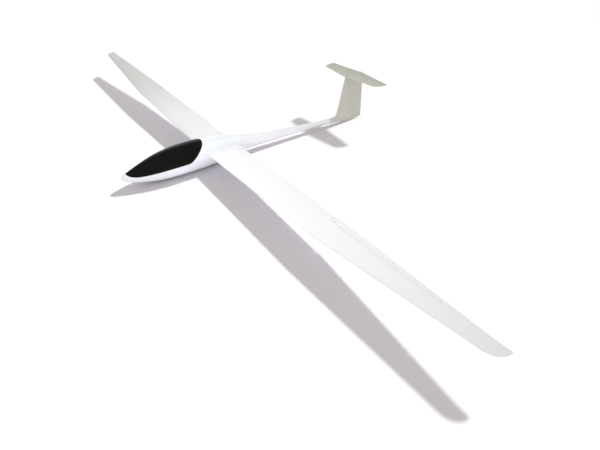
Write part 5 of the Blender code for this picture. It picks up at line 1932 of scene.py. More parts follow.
    def dress_rod(self, bench: Bench, side: Side) -> None:
        """Makes the rod, bent through the servo's arm, with its barrel beside the horn."""
        kind, radius = self.control.kind, FITTINGS.rod_radius
        out = side.value * (FITTINGS.lug_thickness / 2 + GAPS.rod_side + radius)
        place = side.value * self.control.servo_x
        start, end = (Vector((place + out, *hole)) for hole in (self.arm_hole(), self.horn_hole()))
        bend = [(place - out, *self.arm_hole()), start, end]
        rod = bar(rounded_chain(bend, self.bend_radius), radius, FITTINGS.sides)
        piece = as_object(f"{kind}_rod_{side.word}", together([rod, rod_barrel(end, start - end)]))
        bench.hand_over(piece, STEEL_WIRE, Carrier.AIRFRAME, [f"{kind}_pushrod_{side.word}"])


@dataclass(frozen=True)
class TailShape:
    """The tail's outlines: sleeve, fin with rudder, and stabilizer with elevator."""

    pod: Pod = Pod()
    sleeve_end_y: float = 0.8320
    sleeve_end_base_z: float = 0.0045
    sleeve_end_top_z: float = 0.0260
    sleeve_end_half_width: float = 0.0065
    base_z: float = 0.0050
    base_leading_y: float = 0.7180
    base_trailing_y: float = 0.8990
    top_leading_y: float = 0.7570
    top_trailing_y: float = 0.8700
    fin_thickness: float = 0.085
    fin_top_gap: float = 0.0006
    hinge_base_y: float = 0.8360
    hinge_top_y: float = 0.8080
    stab_z: float = 0.2340
    stab_half_span: float = 0.1800
    stab_tip_length: float = 0.0250
    stab_root_leading_y: float = 0.7520
    stab_root_trailing_y: float = 0.8680
    stab_tip_leading_y: float = 0.7780
    stab_tip_trailing_y: float = 0.8460
    stab_thickness: float = 0.080
    tip_end_chord: float = 0.0050
    elevator_hinge_y: float = 0.8340
    sleeve_sides: int = 72

    # Height on the fin and reach of its root fillet ahead of the straight leading edge
    fillet: tuple[tuple[float, float], ...] = (
        (0.0200, 0.0300),
        (0.0390, 0.0300),
        (0.0405, 0.0190),
        (0.0440, 0.0080),
        (0.0500, 0.0),
    )

    def share(self, z: float) -> float:
        """How far up the fin a height is."""
        return (z - self.base_z) / (self.stab_z - self.base_z)

    def fin_values(self, z: float) -> tuple[float, float]:
        """Leading edge y and chord of the fin with the rudder at a height."""
        leading = between(self.base_leading_y, self.top_leading_y, self.share(z))
        return leading, between(self.base_trailing_y, self.top_trailing_y, self.share(z)) - leading

    def hinge_at(self, z: float) -> Vector:
        """Place on the rudder's hinge line at a height."""
        return Vector((0.0, between(self.hinge_base_y, self.hinge_top_y, self.share(z)), z))

    def fin_ring(self, z: float) -> Ring:
        """The whole section of the fin at a height, with its fillet."""
        leading, chord = self.fin_values(z)
        fillet = through(self.fillet, z)[0] if z < self.fillet[-1][0] else 0.0
        full = chord + fillet
        outline = Section(full, self.fin_thickness * chord / full).outline()
        return [Vector((v, leading - fillet + u, z)) for u, v in outline]

    def rudder_ring(self, z: float, nosed: bool) -> Ring:
        """A section of the rudder, or of its room, at a height."""
        leading, chord = self.fin_values(z)
        section = Section(chord, self.fin_thickness)
        hinge = (self.hinge_at(z).y - leading) / chord
        outline = section.round_nosed(hinge) if nosed else section.nose_room(hinge)
        return [Vector((v, leading + u, z)) for u, v in outline]

    def stab_values(self, x: float) -> tuple[float, float]:
        """Leading edge y and chord of the stabilizer with the elevator."""
        share = abs(x) / self.stab_half_span
        leading = between(self.stab_root_leading_y, self.stab_tip_leading_y, share)
        trailing = between(self.stab_root_trailing_y, self.stab_tip_trailing_y, share)
        out = max(0.0, abs(x) - (self.stab_half_span - self.stab_tip_length)) / self.stab_tip_length
        rim = math.sqrt(max(0.0, 1 - out**2))
        chord = between(self.tip_end_chord, trailing - leading, rim)
        return trailing - chord, chord

    def stab_ring(self, x: float, grow: float = 0.0) -> Ring:
        """The whole section of the stabilizer, thickened by the growth on each side."""
        leading, chord = self.stab_values(x)
        outline = Section(chord, self.stab_thickness + 2 * grow / chord).outline()
        return [Vector((x, leading + u, self.stab_z + v)) for u, v in outline]

    def elevator_ring(self, x: float, nosed: bool) -> Ring:
        """A section of the elevator or of its room."""
        leading, chord = self.stab_values(x)
        section = Section(chord, self.stab_thickness)
        hinge = (self.elevator_hinge_y - leading) / chord
        outline = section.round_nosed(hinge) if nosed else section.nose_room(hinge)
        return [Vector((x, leading + u, self.stab_z + v)) for u, v in outline]

    def sleeve_values(self, y: float) -> list[float]:
        """Half width, bottom and top of the tail sleeve at a place."""
        share = (y - self.pod.boom_end_y) / (self.sleeve_end_y - self.pod.boom_end_y)
        end = (self.sleeve_end_half_width, self.sleeve_end_base_z, self.sleeve_end_top_z)
        return [between(a, b, share) for a, b in zip(self.pod.stations[-1][1:], end)]

    def sleeve_ring(self, y: float) -> Ring:
        """A section of the tail sleeve."""
        half_width, low, high = self.sleeve_values(y)
        return oval_ring(y, half_width, (low + high) / 2, (high - low) / 2, self.sleeve_sides)


@dataclass(frozen=True)
class Tail:
    """The foam tail: fin piece, rudder, stabilizer, elevator and skid."""

    shape: TailShape = TailShape()
    rudder_top_gap: float = 0.0080
    rudder_rise: float = 0.0040
    rudder_drop: float = 0.0130
    rudder_flat: float = 0.0040
    seat_half_width: float = 0.0300
    elevator_tip_margin: float = 0.0050
    skid_front_y: float = 0.7560
    skid_rear_y: float = 0.8200
    skid_depth: float = 0.0020
    skid_width: float = 0.0060
    horn_z: float = 0.0420
    horn_start: float = 0.0040
    horn_reach: float = 0.0150
    rod_exit: tuple[float, float, float] = (0.0080, 0.7000, 0.0290)
    horn_front_y: float = 0.8500
    horn_rear_y: float = 0.8650
    horn_hole_y: float = 0.8635
    horn_height: float = 0.0065
    horn_plate: float = 0.0010
    horn_half_width: float = 0.0040
    horn_base: float = 0.0110
    hole_radius: float = 0.0008
    drill_reach: float = 0.0020
    fin_low_z: float = 0.0320
    fin_steps: int = 14
    room_z: tuple[float, float] = (-0.0200, 0.2800)
    cut_margin: float = 0.0200
    screw_places: tuple[float, float] = (0.7720, 0.8050)
    screw_radius: float = 0.0022
    screw_sunk: float = 0.0002

    @property
    def rudder_top_z(self) -> float:
        """Height of the rudder's top."""
        return self.shape.stab_z - self.rudder_top_gap

    @property
    def tail_y(self) -> float:
        """The rearmost place of the rudder."""
        shape = self.shape
        share = self.rudder_rise / (shape.stab_z - shape.base_z)
        return between(shape.base_trailing_y, shape.top_trailing_y, share)

    @property
    def elevator_half_span(self) -> float:
        """Half of the elevator's span."""
        return self.shape.stab_half_span - self.shape.stab_tip_length - self.elevator_tip_margin

    def skid_top(self, grow: float) -> Outline:
        """The skid's two upper corners in side view, let into the sleeve."""
        ends = (self.skid_front_y - grow, self.skid_rear_y + grow)
        return [(y, self.shape.sleeve_values(y)[1] + self.skid_depth + grow) for y in ends]

    def rod_line(self) -> list[Vector]:
        """The rudder rod's two ends: where it leaves the tail piece and beside the horn's hole."""
        hinge, up, _ = self.horn_axes()
        x, y, z = self.rod_exit
        beside = up * (FITTINGS.lug_thickness / 2 + GAPS.rod_side + FITTINGS.rod_radius)
        return [Vector((-x, y, z)), hinge + Vector((-self.horn_reach, 0, 0)) + beside]

    def horn_axes(self) -> tuple[Vector, Vector, Vector]:
        """The hinge's place at the horn, its direction and the direction straight behind it."""
        shape = self.shape
        up = (shape.hinge_at(self.rudder_top_z) - shape.hinge_at(shape.base_z)).normalized()
        return shape.hinge_at(self.horn_z), up, Vector((0, up.z, -up.y))

    def dress(self, bench: Bench) -> None:
        """Makes the tail's pieces."""
        self.dress_fin(bench)
        self.dress_rudder(bench)
        self.dress_stabilizer(bench)
        bench.keep("tail_skid", TAIL_FOAM_AND_SHADE)
        self.dress_rudder_linkage(bench)
        self.dress_elevator_horn(bench)
        self.dress_screws(bench)

    def dress_rudder_linkage(self, bench: Bench) -> None:
        """Makes the rudder's horn with its base plate, and the rod with its barrel."""
        shape = self.shape
        hinge, up, back = self.horn_axes()
        leading, chord = shape.fin_values(self.horn_z)
        section = Section(chord, shape.fin_thickness)
        base = []
        for behind in (self.horn_start, self.horn_start + self.horn_base):
            half = section.half((hinge.y + behind - leading) / chord)
            base.append((-half - GAPS.seat, behind))
        flange = base + [(x - FITTINGS.base_thickness, behind) for x, behind in reversed(base)]
        eye = (-self.horn_reach, 0.0)

        def place(x: float, behind: float, lift: float) -> Vector:
            """A place by its distances beside, behind and along the hinge line."""
            return hinge + Vector((x, 0, 0)) + back * behind + up * lift

        def raised(outline: Outline, half: float) -> bmesh.types.BMesh:
            """A plate across the hinge line from its outline beside it."""
            return skin([[place(*point, lift) for point in outline] for lift in (-half, half)])

        outline = lug(*base, eye, FITTINGS.tip_radius)
        horn = as_object("rudder_horn_lug", raised(outline, FITTINGS.lug_thickness / 2))
        carve(horn, raised(flange, FITTINGS.base_width / 2), Cut.TOGETHER)
        drill(horn, place(*eye, 0.0), up * self.drill_reach, self.hole_radius)
        soften_edges(horn, FITTINGS.rounding)
        bench.hand_over(horn, HORN_NYLON, Carrier.RUDDER, ["rudder_horn"])
        start, end = self.rod_line()
        rod = bar([start, end], FITTINGS.rod_radius, FITTINGS.sides)
        piece = as_object("rudder_rod", together([rod, rod_barrel(end, start - end)]))
        bench.hand_over(piece, STEEL_WIRE, Carrier.AIRFRAME, ["rudder_pushrod"])

    def stabilizer_top(self, y: float) -> float:
        """Height of the stabilizer's upper skin over the fin."""
        leading, chord = self.shape.stab_values(0.0)
        return self.shape.stab_z + Section(chord, self.shape.stab_thickness).half((y - leading) / chord)

    def dress_elevator_horn(self, bench: Bench) -> None:
        """Makes the elevator's horn: its base plate and its drilled lug."""
        places = (self.horn_front_y, self.horn_rear_y)
        seat = [(y, self.stabilizer_top(y) + GAPS.seat) for y in places]
        over = [(y, z + self.horn_plate) for y, z in reversed(seat)]
        base = plate(seat + over, 0.0, 2 * self.horn_half_width, FITTINGS.rounding)
        horn = as_object("elevator_horn_lug", base)
        hole = (self.horn_hole_y, self.shape.stab_z + self.horn_height)
        foot = [(y, z + self.horn_plate / 2) for y, z in seat]
        upright = plate(lug(*foot, hole, FITTINGS.tip_radius), 0.0, FITTINGS.lug_thickness)
        carve(horn, upright, Cut.TOGETHER)
        drill(horn, (0.0, *hole), (self.drill_reach, 0, 0), self.hole_radius)
        soften_edges(horn, FITTINGS.rounding)
        bench.hand_over(horn, HORN_NYLON, Carrier.ELEVATOR, ["elevator_horn"])

    def dress_screws(self, bench: Bench) -> None:
        """Makes the two screws that hold the stabilizer on the fin."""
        spots = [(0.0, y, self.stabilizer_top(y) - self.screw_sunk) for y in self.screw_places]
        heads = together(screw_head(spot, UP, self.screw_radius) for spot in spots)
        bench.hand_over(as_object("stabilizer_screws", heads), DARK_SCREW, Carrier.AIRFRAME)

    def dress_fin(self, bench: Bench) -> None:
        """Makes the fin with its sleeve."""
        shape = self.shape
        foot, start, end = (shape.fillet[k][0] for k in (0, 1, -1))
        heights = [foot, self.fin_low_z] + steps(start, end, self.fin_steps)
        heights += steps(end, shape.stab_z - shape.fin_top_gap, self.fin_steps)[1:]
        fin_rings = [shape.fin_ring(z) for z in heights]
        piece = as_object("tail_moulding", skin(fin_rings))
        ends = (shape.pod.boom_end_y + GAPS.seat, shape.sleeve_end_y)
        sleeve_rings = [shape.sleeve_ring(y) for y in steps(*ends, 12)]
        carve(piece, skin(sleeve_rings), Cut.TOGETHER)
        front, rear = self.skid_top(GAPS.seat)
        below = -self.skid_depth
        outline = [front, (front[0], below), (rear[0], below), rear]
        slot = plate(outline, 0.0, self.skid_width + 2 * GAPS.seat)
        room = skin([shape.rudder_ring(z, False) for z in self.room_z])
        half = self.seat_half_width
        seat = skin([shape.stab_ring(x, GAPS.seat) for x in (-half, 0.0, half)])
        bore = bar(self.rod_line(), FITTINGS.rod_radius + GAPS.seat, 20)
        for tool in (slot, room, seat, bore):
            carve(piece, tool)
        guides = [open_skin(fin_rings), open_skin(sleeve_rings)]
        bench.hand_over(piece, TAIL_FOAM_AND_SHADE, Carrier.AIRFRAME, ["tail_fin"], CREASES.moulding, guides)

    def dress_rudder(self, bench: Bench) -> None:
        """Makes the rudder, cut away at its foot and under the elevator."""
        shape, margin = self.shape, self.cut_margin
        base_z, top_z = shape.base_z, self.rudder_top_z
        rings = [shape.rudder_ring(z, True) for z in steps(base_z, top_z, 12)]
        rudder = as_object("rudder_panel", skin(rings))
        low_y, flat_y = shape.hinge_at(base_z).y, shape.hinge_at(top_z).y + self.rudder_flat
        low_z, high_z = base_z - margin, top_z + margin
        foot_z, drop_z = base_z + self.rudder_rise, top_z - self.rudder_drop
        tail_y, top_y = self.tail_y, shape.top_trailing_y
        under = [(low_y, low_z), (low_y, base_z), (tail_y, foot_z)]
        under += [(tail_y + margin, foot_z), (tail_y + margin, low_z)]
        over = [(flat_y, high_z), (flat_y, top_z), (top_y, drop_z)]
        over += [(top_y + margin, drop_z), (top_y + margin, high_z)]
        for outline in (under, over):
            carve(rudder, plate(outline, 0.0, 2 * margin))
        guides, crease = [open_skin(rings)], CREASES.moulding
        bench.hand_over(rudder, TAIL_FOAM_AND_SHADE, Carrier.RUDDER, ["rudder"], crease, guides)

    def dress_stabilizer(self, bench: Bench) -> None:
        """Makes the stabilizer and the one-piece elevator."""
        shape = self.shape
        start = shape.stab_half_span - shape.stab_tip_length
        rim = [math.sin(math.radians(turn)) for turn in steps(0.0, 90.0, self.fin_steps)]
        outer = [between(start, shape.stab_half_span, out) for out in rim]
        half = steps(0.0, start, 6)[1:-1] + outer
        places = [-x for x in reversed(half)] + [0.0] + half
        rings = [shape.stab_ring(x) for x in places]
        plane = as_object("stabilizer_panel", skin(rings))
        reach = self.elevator_half_span + GAPS.end
        carve(plane, skin([shape.elevator_ring(x, False) for x in (-reach, 0.0, reach)]))
        guides, crease = [open_skin(rings)], CREASES.moulding
        bench.hand_over(plane, TAIL_FOAM_AND_SHADE, Carrier.AIRFRAME, ["stabilizer"], crease, guides)
        places = steps(-self.elevator_half_span, self.elevator_half_span, 12)
        rings = [shape.elevator_ring(x, True) for x in places]
        elevator, guides = as_object("elevator_panel", skin(rings)), [open_skin(rings)]
        bench.hand_over(elevator, TAIL_FOAM_AND_SHADE, Carrier.ELEVATOR, ["elevator"], CREASES.panel, guides)


@dataclass(frozen=True)
class EquipmentBay:
    """What is carried in the cabin: the tray with the battery, the receiver and the tail's servos."""

    battery_y: float = -0.1750
    battery_size: tuple[float, float, float] = (0.0340, 0.0950, 0.0240)
    battery_cells: int = 3
    cell_round: float = 0.0024
    cell_steps: int = 5
    cell_gap: float = 0.0040
    sleeve_inset: tuple[float, float, float] = (0.0008, 0.0060, 0.0012)
    sleeve_edge: float = 0.0010
    fold_inset: tuple[float, float, float] = (0.0060, 0.0, 0.0060)
    fold_edge: float = 0.0015
    strap_width: float = 0.0160
    strap_thickness: float = 0.0012
    strap_corner: float = 0.0022
    strap_steps: int = 6
    strap_threads: int = 14
    hem_share: float = 0.1
    hem_thinning: float = 0.6
    receiver_y: float = -0.0980
    receiver_size: tuple[float, float, float] = (0.0260, 0.0440, 0.0140)
    receiver_edge: float = 0.0012
    receiver_split: float = 0.6
    receiver_neck: tuple[float, float] = (0.5, 4.0)
    socket_length: float = 0.0050
    socket_count: int = 6
    socket_width: float = 0.86
    socket_height: float = 0.3
    socket_middle: float = 0.18
    socket_edge: float = 0.0005
    pin_radius: float = 0.0003
    pin_spread: float = 0.38
    pin_rows: tuple[float, float, float] = (0.44, 0.60, 0.76)
    pin_sunk: float = 0.0010
    pin_share: float = 0.7
    seam: float = 0.0003
    servo_y: float = 0.0050
    servo_x: float = 0.0170
    servo_size: tuple[float, float, float] = (0.0120, 0.0230, 0.0220)
    lug_length: float = 0.0048
    lug_thickness: float = 0.0015
    lug_from_top: float = 0.0070
    spindle_radius: float = 0.0025
    spindle_height: float = 0.0030
    arm_reach: float = 0.0100
    arm_width: float = 0.0050
    arm_overlap: float = 0.0020
    arm_thickness: float = 0.0016
    arm_tip_radius: float = 0.0016
    arm_hole_radius: float = 0.0005
    arm_last_hole: float = 0.0030
    arm_hub_depth: float = 0.0026
    arm_hub_flare: float = 1.15
    arm_screw_radius: float = 0.0014
    arm_screw_sunk: float = 0.0001
    cap_height: float = 0.0058
    case_edge: float = 0.0007
    lug_edge: float = 0.0005
    boss_height: float = 0.0008
    boss_sunk: float = 0.0001
    screw_radius: float = 0.0015

    @property
    def tray_low_z(self) -> float:
        """Height of the tray's underside."""
        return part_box("equipment_tray")[0][2]

    @property
    def tray_top_z(self) -> float:
        """Height of the tray's top."""
        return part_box("equipment_tray")[1][2]

    def dress(self, bench: Bench) -> None:
        """Makes the bay's pieces."""
        bench.keep("equipment_tray", PLYWOOD)
        self.dress_battery(bench)
        self.dress_strap(bench)
        self.dress_receiver(bench)
        for word, way in (("rudder", 1), ("elevator", -1)):
            self.dress_servo(bench, word, way)

    def dress_battery(self, bench: Bench) -> None:
        """Makes the battery: its cells under one shrunk sleeve, and the sleeve's folded ends."""
        wide, long, high = self.battery_size
        low = self.tray_top_z + GAPS.seat
        cell = (wide, long - self.cell_gap, high / self.battery_cells)
        shapes = []
        for k in range(self.battery_cells):
            spot = (0, self.battery_y, low + (k + 0.5) * cell[2])
            shapes.append(block(spot, cell, self.cell_round, self.cell_steps))
        wraps = ((self.sleeve_inset, self.sleeve_edge), (self.fold_inset, self.fold_edge))
        for inset, edge in wraps:
            size = [whole - less for whole, less in zip(self.battery_size, inset)]
            shapes.append(block((0, self.battery_y, low + high / 2), size, edge))
        battery = as_object("battery_pack", together(shapes))
        bench.hand_over(battery, BATTERY_SLEEVE, Carrier.AIRFRAME, ["battery"])

    def strap_line(self) -> list[Vector]:
        """The strap's closed line round the battery and the tray, as (x, z) places."""
        wide, _, high = self.battery_size
        thick = self.strap_thickness
        reach = wide / 2 + GAPS.seat + thick / 2
        low = self.tray_low_z - GAPS.seat - thick / 2
        top = self.tray_top_z + 2 * GAPS.seat + high + thick / 2
        start = (reach, (low + top) / 2)
        corners = [start, (reach, top), (-reach, top), (-reach, low), (reach, low), start]
        sharp = [(x, self.battery_y, z) for x, z in corners]
        chain = rounded_chain(sharp, self.strap_corner, self.strap_steps)
        line = [Vector((spot.x, spot.z)) for spot in chain[:-1]]
        return [spot for k, spot in enumerate(line) if (spot - line[k - 1]).length > 1e-6]

    def dress_strap(self, bench: Bench) -> None:
        """Makes the woven strap round the battery and the tray, drawn tight."""
        line = self.strap_line()
        middle = Vector((0.0, line[0].y))
        bm = bmesh.new()
        rows = []
        for k, spot in enumerate(line):
            way = (line[(k + 1) % len(line)] - line[k - 1]).normalized()
            out = Vector((way.y, -way.x))
            if out.dot(spot - middle) < 0:
                out.negate()
            row = []
            for face in (1, -1):
                for share in steps(-0.5, 0.5, self.strap_threads)[::face]:
                    hem = max(0.0, 2 * abs(share) - 1 + self.hem_share) / self.hem_share
                    half = self.strap_thickness / 2 * (1 - self.hem_thinning * hem)
                    place = spot + out * face * half
                    y = self.battery_y + share * self.strap_width
                    row.append(bm.verts.new((place.x, y, place.y)))
            rows.append(row)
        lace(bm, rows, closed=True, ring=True)
        bmesh.ops.recalc_face_normals(bm, faces=bm.faces)
        strap = as_object("battery_band", bm)
        stands_for, resting = ["battery_strap"], ["battery_pack", "equipment_tray"]
        bench.hand_over(strap, STRAP_CLOTH, Carrier.AIRFRAME, stands_for, CREASES.cloth)

    def dress_receiver(self, bench: Bench) -> None:
        """Makes the receiver: two shells with a seam, and the rows of pins at its end."""
        wide, long, high = self.receiver_size
        low, seam, socket = self.tray_top_z + GAPS.seat, self.seam, self.socket_length
        shell, y = long - socket, self.receiver_y - socket / 2
        split, edges = self.receiver_split * high - seam, [self.receiver_edge] * 2
        size = (wide, shell, high - seam)
        foot = (0, y, low + seam / 2)
        shells = two_shells(foot, size, split, seam, edges, self.receiver_neck)
        middle = (0, y + long / 2 - self.socket_edge, low + self.socket_middle * high)
        size = (self.socket_width * wide, socket, self.socket_height * high)
        ledge = block(middle, size, self.socket_edge)
        receiver = as_object("receiver_case", together([*shells, ledge]))
        bench.hand_over(receiver, RECEIVER_CASE, Carrier.AIRFRAME, ["receiver"])
        pins = []
        reach, along_pin = self.pin_spread * wide, Vector((0, self.pin_share * socket, 0))
        for x in steps(-reach, reach, self.socket_count - 1):
            for share in self.pin_rows:
                spot = Vector((x, y + shell / 2 - self.pin_sunk, low + share * high))
                pins.append(bar([spot, spot + along_pin], self.pin_radius, 8))
        bench.hand_over(as_object("receiver_pins", together(pins)), STEEL_WIRE, Carrier.AIRFRAME)

    def dress_servo(self, bench: Bench, word: str, way: int) -> None:
        """Makes one of the tail's servos.

        Args:
            bench: Where the pieces are handed over.
            word: What the servo moves.
            way: The sign of its x.
        """
        wide, long, high = self.servo_size
        x, y = way * self.servo_x, self.servo_y
        lug_low = self.tray_top_z + GAPS.seat
        lug_top = lug_low + self.lug_thickness
        top = lug_top + self.lug_from_top
        foot, split, edges = (x, y, top - high), high - self.cap_height, [self.case_edge] * 2
        shells = two_shells(foot, self.servo_size, split, self.seam, edges)
        size = (wide, long + 2 * self.lug_length, self.lug_thickness)
        lugs = block((x, y, (lug_low + lug_top) / 2), size, self.lug_edge)
        radius, rise = self.spindle_radius, self.boss_height
        boss = [(0.0, 0.0), (2 * radius, 0.0), (1.8 * radius, rise), (0.0, rise)]
        tower = turned(boss, Matrix.Translation((x, y, top - self.boss_sunk)), 40)
        case = as_object(f"{word}_servo_case", together([*shells, lugs, tower]))
        bench.hand_over(case, SERVO_CASE, Carrier.AIRFRAME, [f"{word}_servo"])
        arm_z = top + self.spindle_height
        self.dress_arm(bench, word, way, arm_z)
        seat = (x, y, arm_z + self.arm_thickness / 2 - self.arm_screw_sunk)
        heads = [screw_head(seat, UP, self.arm_screw_radius)]
        for end in (-1, 1):
            spot = (x, y + end * (long + self.lug_length) / 2, lug_top)
            heads.append(screw_head(spot, UP, self.screw_radius))
        screws = as_object(f"{word}_servo_screws", together(heads))
        bench.hand_over(screws, DARK_SCREW, Carrier.AIRFRAME)

    def dress_arm(self, bench: Bench, word: str, way: int, z: float) -> None:
        """Makes the arm of one of the tail's servos.

        Args:
            bench: Where the arm is handed over.
            word: What the servo moves.
            way: The sign of the servo's x.
            z: The height of the arm's middle.
        """
        x, y, tip = way * self.servo_x, self.servo_y, self.arm_tip_radius
        radius, half, depth = self.spindle_radius, self.arm_thickness / 2, self.arm_hub_depth
        hub = [(0.0, -depth), (radius, -depth), (radius * self.arm_hub_flare, half), (0.0, half)]
        arm = as_object(f"{word}_servo_arm", turned(hub, Matrix.Translation((x, y, z)), 32))
        eye_x = way * (self.servo_x + self.arm_overlap - self.arm_reach) + way * tip
        ends = [(x, y - self.arm_width / 2), (x, y + self.arm_width / 2)]
        outline = lug(*ends, (eye_x, y), tip)
        blade = skin([[(u, v, z + lift) for u, v in outline] for lift in (-half, half)])
        carve(arm, blade, Cut.TOGETHER)
        holes = []
        for share in (0.0, 0.5):
            spot = Vector((between(eye_x, x - way * self.arm_last_hole, share), y, z))
            rise = Vector((0, 0, self.arm_thickness))
            holes.append(bar([spot - rise, spot + rise], self.arm_hole_radius, 12))
        carve(arm, together(holes))
        soften_edges(arm, FITTINGS.rounding)
        bench.hand_over(arm, HORN_NYLON, Carrier.AIRFRAME)


@dataclass(frozen=True)
class Lamp:
    """A soft round lamp: where it hangs, where it points, its colour, power, cone and size."""

    name: str
    place: tuple[float, float, float]
    aim: tuple[float, float, float]
    colour: Colour
    watts: float
    cone: float
    radius: float


@dataclass(frozen=True)
class Studio:
    """The pale floor, the soft lights and the camera."""

    camera_place: tuple[float, float, float] = (1.383, -0.950, 0.910)
    azimuth: float = 51.479
    elevation: float = 35.563
    roll: float = 2.643
    lens: float = 25.6
    shift: tuple[float, float] = (0.0242, -0.0394)
    sensor_width: float = 36.0
    sun_place: tuple[float, float, float] = (0.0, 0.0, 3.0)
    sun_way: tuple[float, float, float] = (0.088, -0.933, -1.0)
    sun_strength: float = 3.1
    sun_spread: float = 4.5
    room_colour: Colour = (0.66, 0.655, 0.60)
    gloss_room: float = 0.03
    patch_way: tuple[float, float, float] = (-2.38, 1.0, 0.79)
    patch_strength: float = 1.3
    patch_colour: Colour = (0.93, 0.96, 1.0)
    patch_edge: tuple[float, float] = (0.86, 0.98)
    key: Lamp = Lamp(
        "key", (0.40, -0.26, 2.6), (0.40, -0.25, 0.0), (0.945, 0.96, 1.0), watts=143.0, cone=60.0, radius=0.35
    )
    fill: Lamp = Lamp(
        "fill", (1.6, -1.3, 0.30), (0.0, -0.20, 0.04), (0.86, 0.92, 1.0), watts=60.0, cone=27.0, radius=0.25
    )
    floor_half: float = 6.0
    floor_colour: Colour = (0.80, 0.77, 0.83)
    floor_shade: Colour = (0.79, 0.76, 0.82)
    floor_roughness: float = 0.9
    floor_specular: float = 0.1

    def dress(self) -> None:
        """Sets up the floor, the lights and the camera."""
        self.lay_floor()
        self.light()
        self.aim_camera()

    def lay_floor(self) -> None:
        """A large plain floor under the model."""
        bm = bmesh.new()
        bmesh.ops.create_grid(bm, x_segments=4, y_segments=4, size=self.floor_half)
        floor = as_object("studio_floor", bm)
        floor.data.materials.append(self.paint())
        floor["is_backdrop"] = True

    def paint(self) -> bpy.types.Material:
        """The floor's matt white paint."""
        made = bpy.data.materials.new("floor paint")
        made.use_nodes = True
        shader = made.node_tree.nodes["Principled BSDF"]
        wiring = Wiring(made.node_tree)
        grain = Finish.effect(wiring, Effect.GRAIN, Scale=60.0)
        colour = wiring.tint(grain.outputs["Tone"], self.floor_colour, self.floor_shade)
        wiring.tree.links.new(colour, shader.inputs["Base Color"])
        shader.inputs["Roughness"].default_value = self.floor_roughness
        shader.inputs["Specular IOR Level"].default_value = self.floor_specular
        return made

    def light(self) -> None:
        """The room's light, the sun that throws the shadow and the two lamps over the model."""
        bpy.context.scene.view_settings.view_transform = "Standard"
        self.light_room()
        floor = bpy.data.objects["studio_floor"]
        sunlit = bpy.data.collections.new("sunlit floor")
        sunlit.objects.link(floor)
        model = bpy.data.collections.new("all but the floor")
        model.objects.link(floor)
        model.collection_objects[0].light_linking.link_state = "EXCLUDE"
        sun = bpy.data.lights.new("sun", "SUN")
        sun.energy = self.sun_strength
        sun.angle = math.radians(self.sun_spread)
        self.hang(sun, self.sun_place, self.sun_way, sunlit)
        for lamp in (self.key, self.fill):
            light = bpy.data.lights.new(lamp.name, "SPOT")
            light.energy = lamp.watts
            light.color = lamp.colour
            light.spot_size = math.radians(lamp.cone)
            light.spot_blend = 1.0
            light.shadow_soft_size = lamp.radius
            way = Vector(lamp.aim) - Vector(lamp.place)
            self.hang(light, lamp.place, way, model)

    def light_room(self) -> None:
        """Lights the room: white to the camera, warm on the model, and one bright patch to reflect."""
        world = bpy.data.worlds.new("studio")
        world.use_nodes = True
        bpy.context.scene.world = world
        wiring = Wiring(world.node_tree)
        room = world.node_tree.nodes["Background"]
        room.inputs["Color"].default_value = (*self.room_colour, 1.0)
        way = wiring.add("ShaderNodeTexCoord").outputs["Generated"]
        patch_way = Vector(self.patch_way).normalized()
        toward = wiring.add("ShaderNodeVectorMath", {0: way, 1: patch_way}, operation="DOT_PRODUCT")
        glow = (self.gloss_room, self.patch_strength)
        strength = wiring.spread(toward.outputs["Value"], *self.patch_edge, *glow)
        colour = (*self.patch_colour, 1.0)
        gloss = wiring.add("ShaderNodeBackground", {"Color": colour, "Strength": strength})
        seen = wiring.add("ShaderNodeBackground", {"Color": (1.0, 1.0, 1.0, 1.0), "Strength": 1.0})
        path = wiring.add("ShaderNodeLightPath")
        shine = wiring.add("ShaderNodeMixShader", {0: path.outputs["Is Glossy Ray"], 1: room.outputs[0]})
        wiring.tree.links.new(gloss.outputs[0], shine.inputs[2])
        mixed = wiring.add("ShaderNodeMixShader", {0: path.outputs["Is Camera Ray"], 1: shine.outputs[0]})
        wiring.tree.links.new(seen.outputs[0], mixed.inputs[2])
        wiring.tree.links.new(mixed.outputs[0], world.node_tree.nodes["World Output"].inputs[0])

    @staticmethod
    def hang(
        light: bpy.types.Light, place: Sequence[float], way: Sequence[float], lit: bpy.types.Collection
    ) -> None:
        """Hangs a light.

        Args:
            light: The light.
            place: Where it hangs.
            way: The direction that it shines in.
            lit: What it lights.
        """
        lamp = bpy.data.objects.new(light.name, light)
        lamp.location = place
        lamp.rotation_euler = Vector(way).to_track_quat("-Z", "Y").to_euler()
        lamp.light_linking.receiver_collection = lit
        lamp.visible_glossy = False
        bpy.context.scene.collection.objects.link(lamp)

    def aim_camera(self) -> None:
        """The camera at the photograph's angle."""
        turn, rise, roll = (math.radians(a) for a in (self.azimuth, self.elevation, self.roll))
        level = math.cos(rise)
        back = Vector((math.sin(turn) * level, -math.cos(turn) * level, math.sin(rise)))
        right = Vector((math.cos(turn), math.sin(turn), 0.0))
        up = back.cross(right)
        across = right * math.cos(roll) + up * math.sin(roll)
        upward = up * math.cos(roll) - right * math.sin(roll)
        data = bpy.data.cameras.new("camera")
        data.lens = self.lens
        data.sensor_width = self.sensor_width
        data.shift_x, data.shift_y = self.shift
        camera = bpy.data.objects.new("camera", data)
        axes = Matrix((across, upward, back)).transposed().to_4x4()
        camera.matrix_world = Matrix.Translation(self.camera_place) @ axes
        bpy.context.scene.collection.objects.link(camera)
        bpy.context.scene.camera = camera


def write_sizes(solids: object, dressed: object) -> None:
    """Turns the box of the solids and the box of the dressed model into plain lists, and keeps neither."""

    def plain(value: object) -> object:
        """Turns a box into plain lists of numbers."""
        if isinstance(value, (int, float)):
            return float(value)
        return [plain(part) for part in value]

    {"cad": plain(solids), "visual": plain(dressed)}


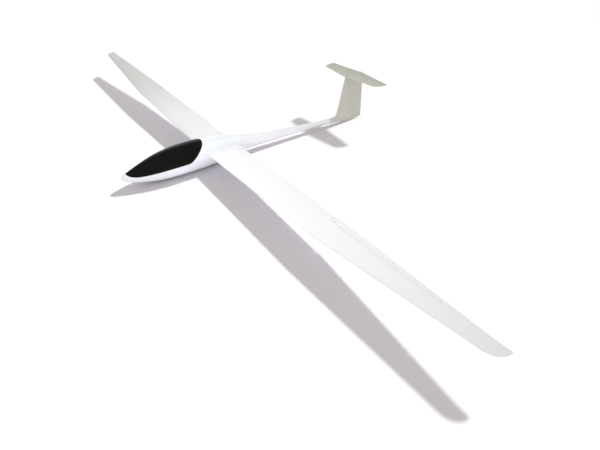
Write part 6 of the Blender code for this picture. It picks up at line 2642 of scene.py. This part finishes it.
def main() -> None:
    """Builds and dresses the sailplane."""
    logging.basicConfig(level=logging.INFO, format="%(name)s: %(message)s")
    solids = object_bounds()
    bench = Bench(Pod().nose_y)
    Studio().dress()
    Fuselage().dress(bench)
    Canopy().dress(bench)
    for side in Side:
        WingPanel().dress(bench, side)
    Joiner().dress(bench)
    Tail().dress(bench)
    MainWheel().dress(bench)
    EquipmentBay().dress(bench)
    write_sizes(solids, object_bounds())


if __name__ == "__main__":
    main()
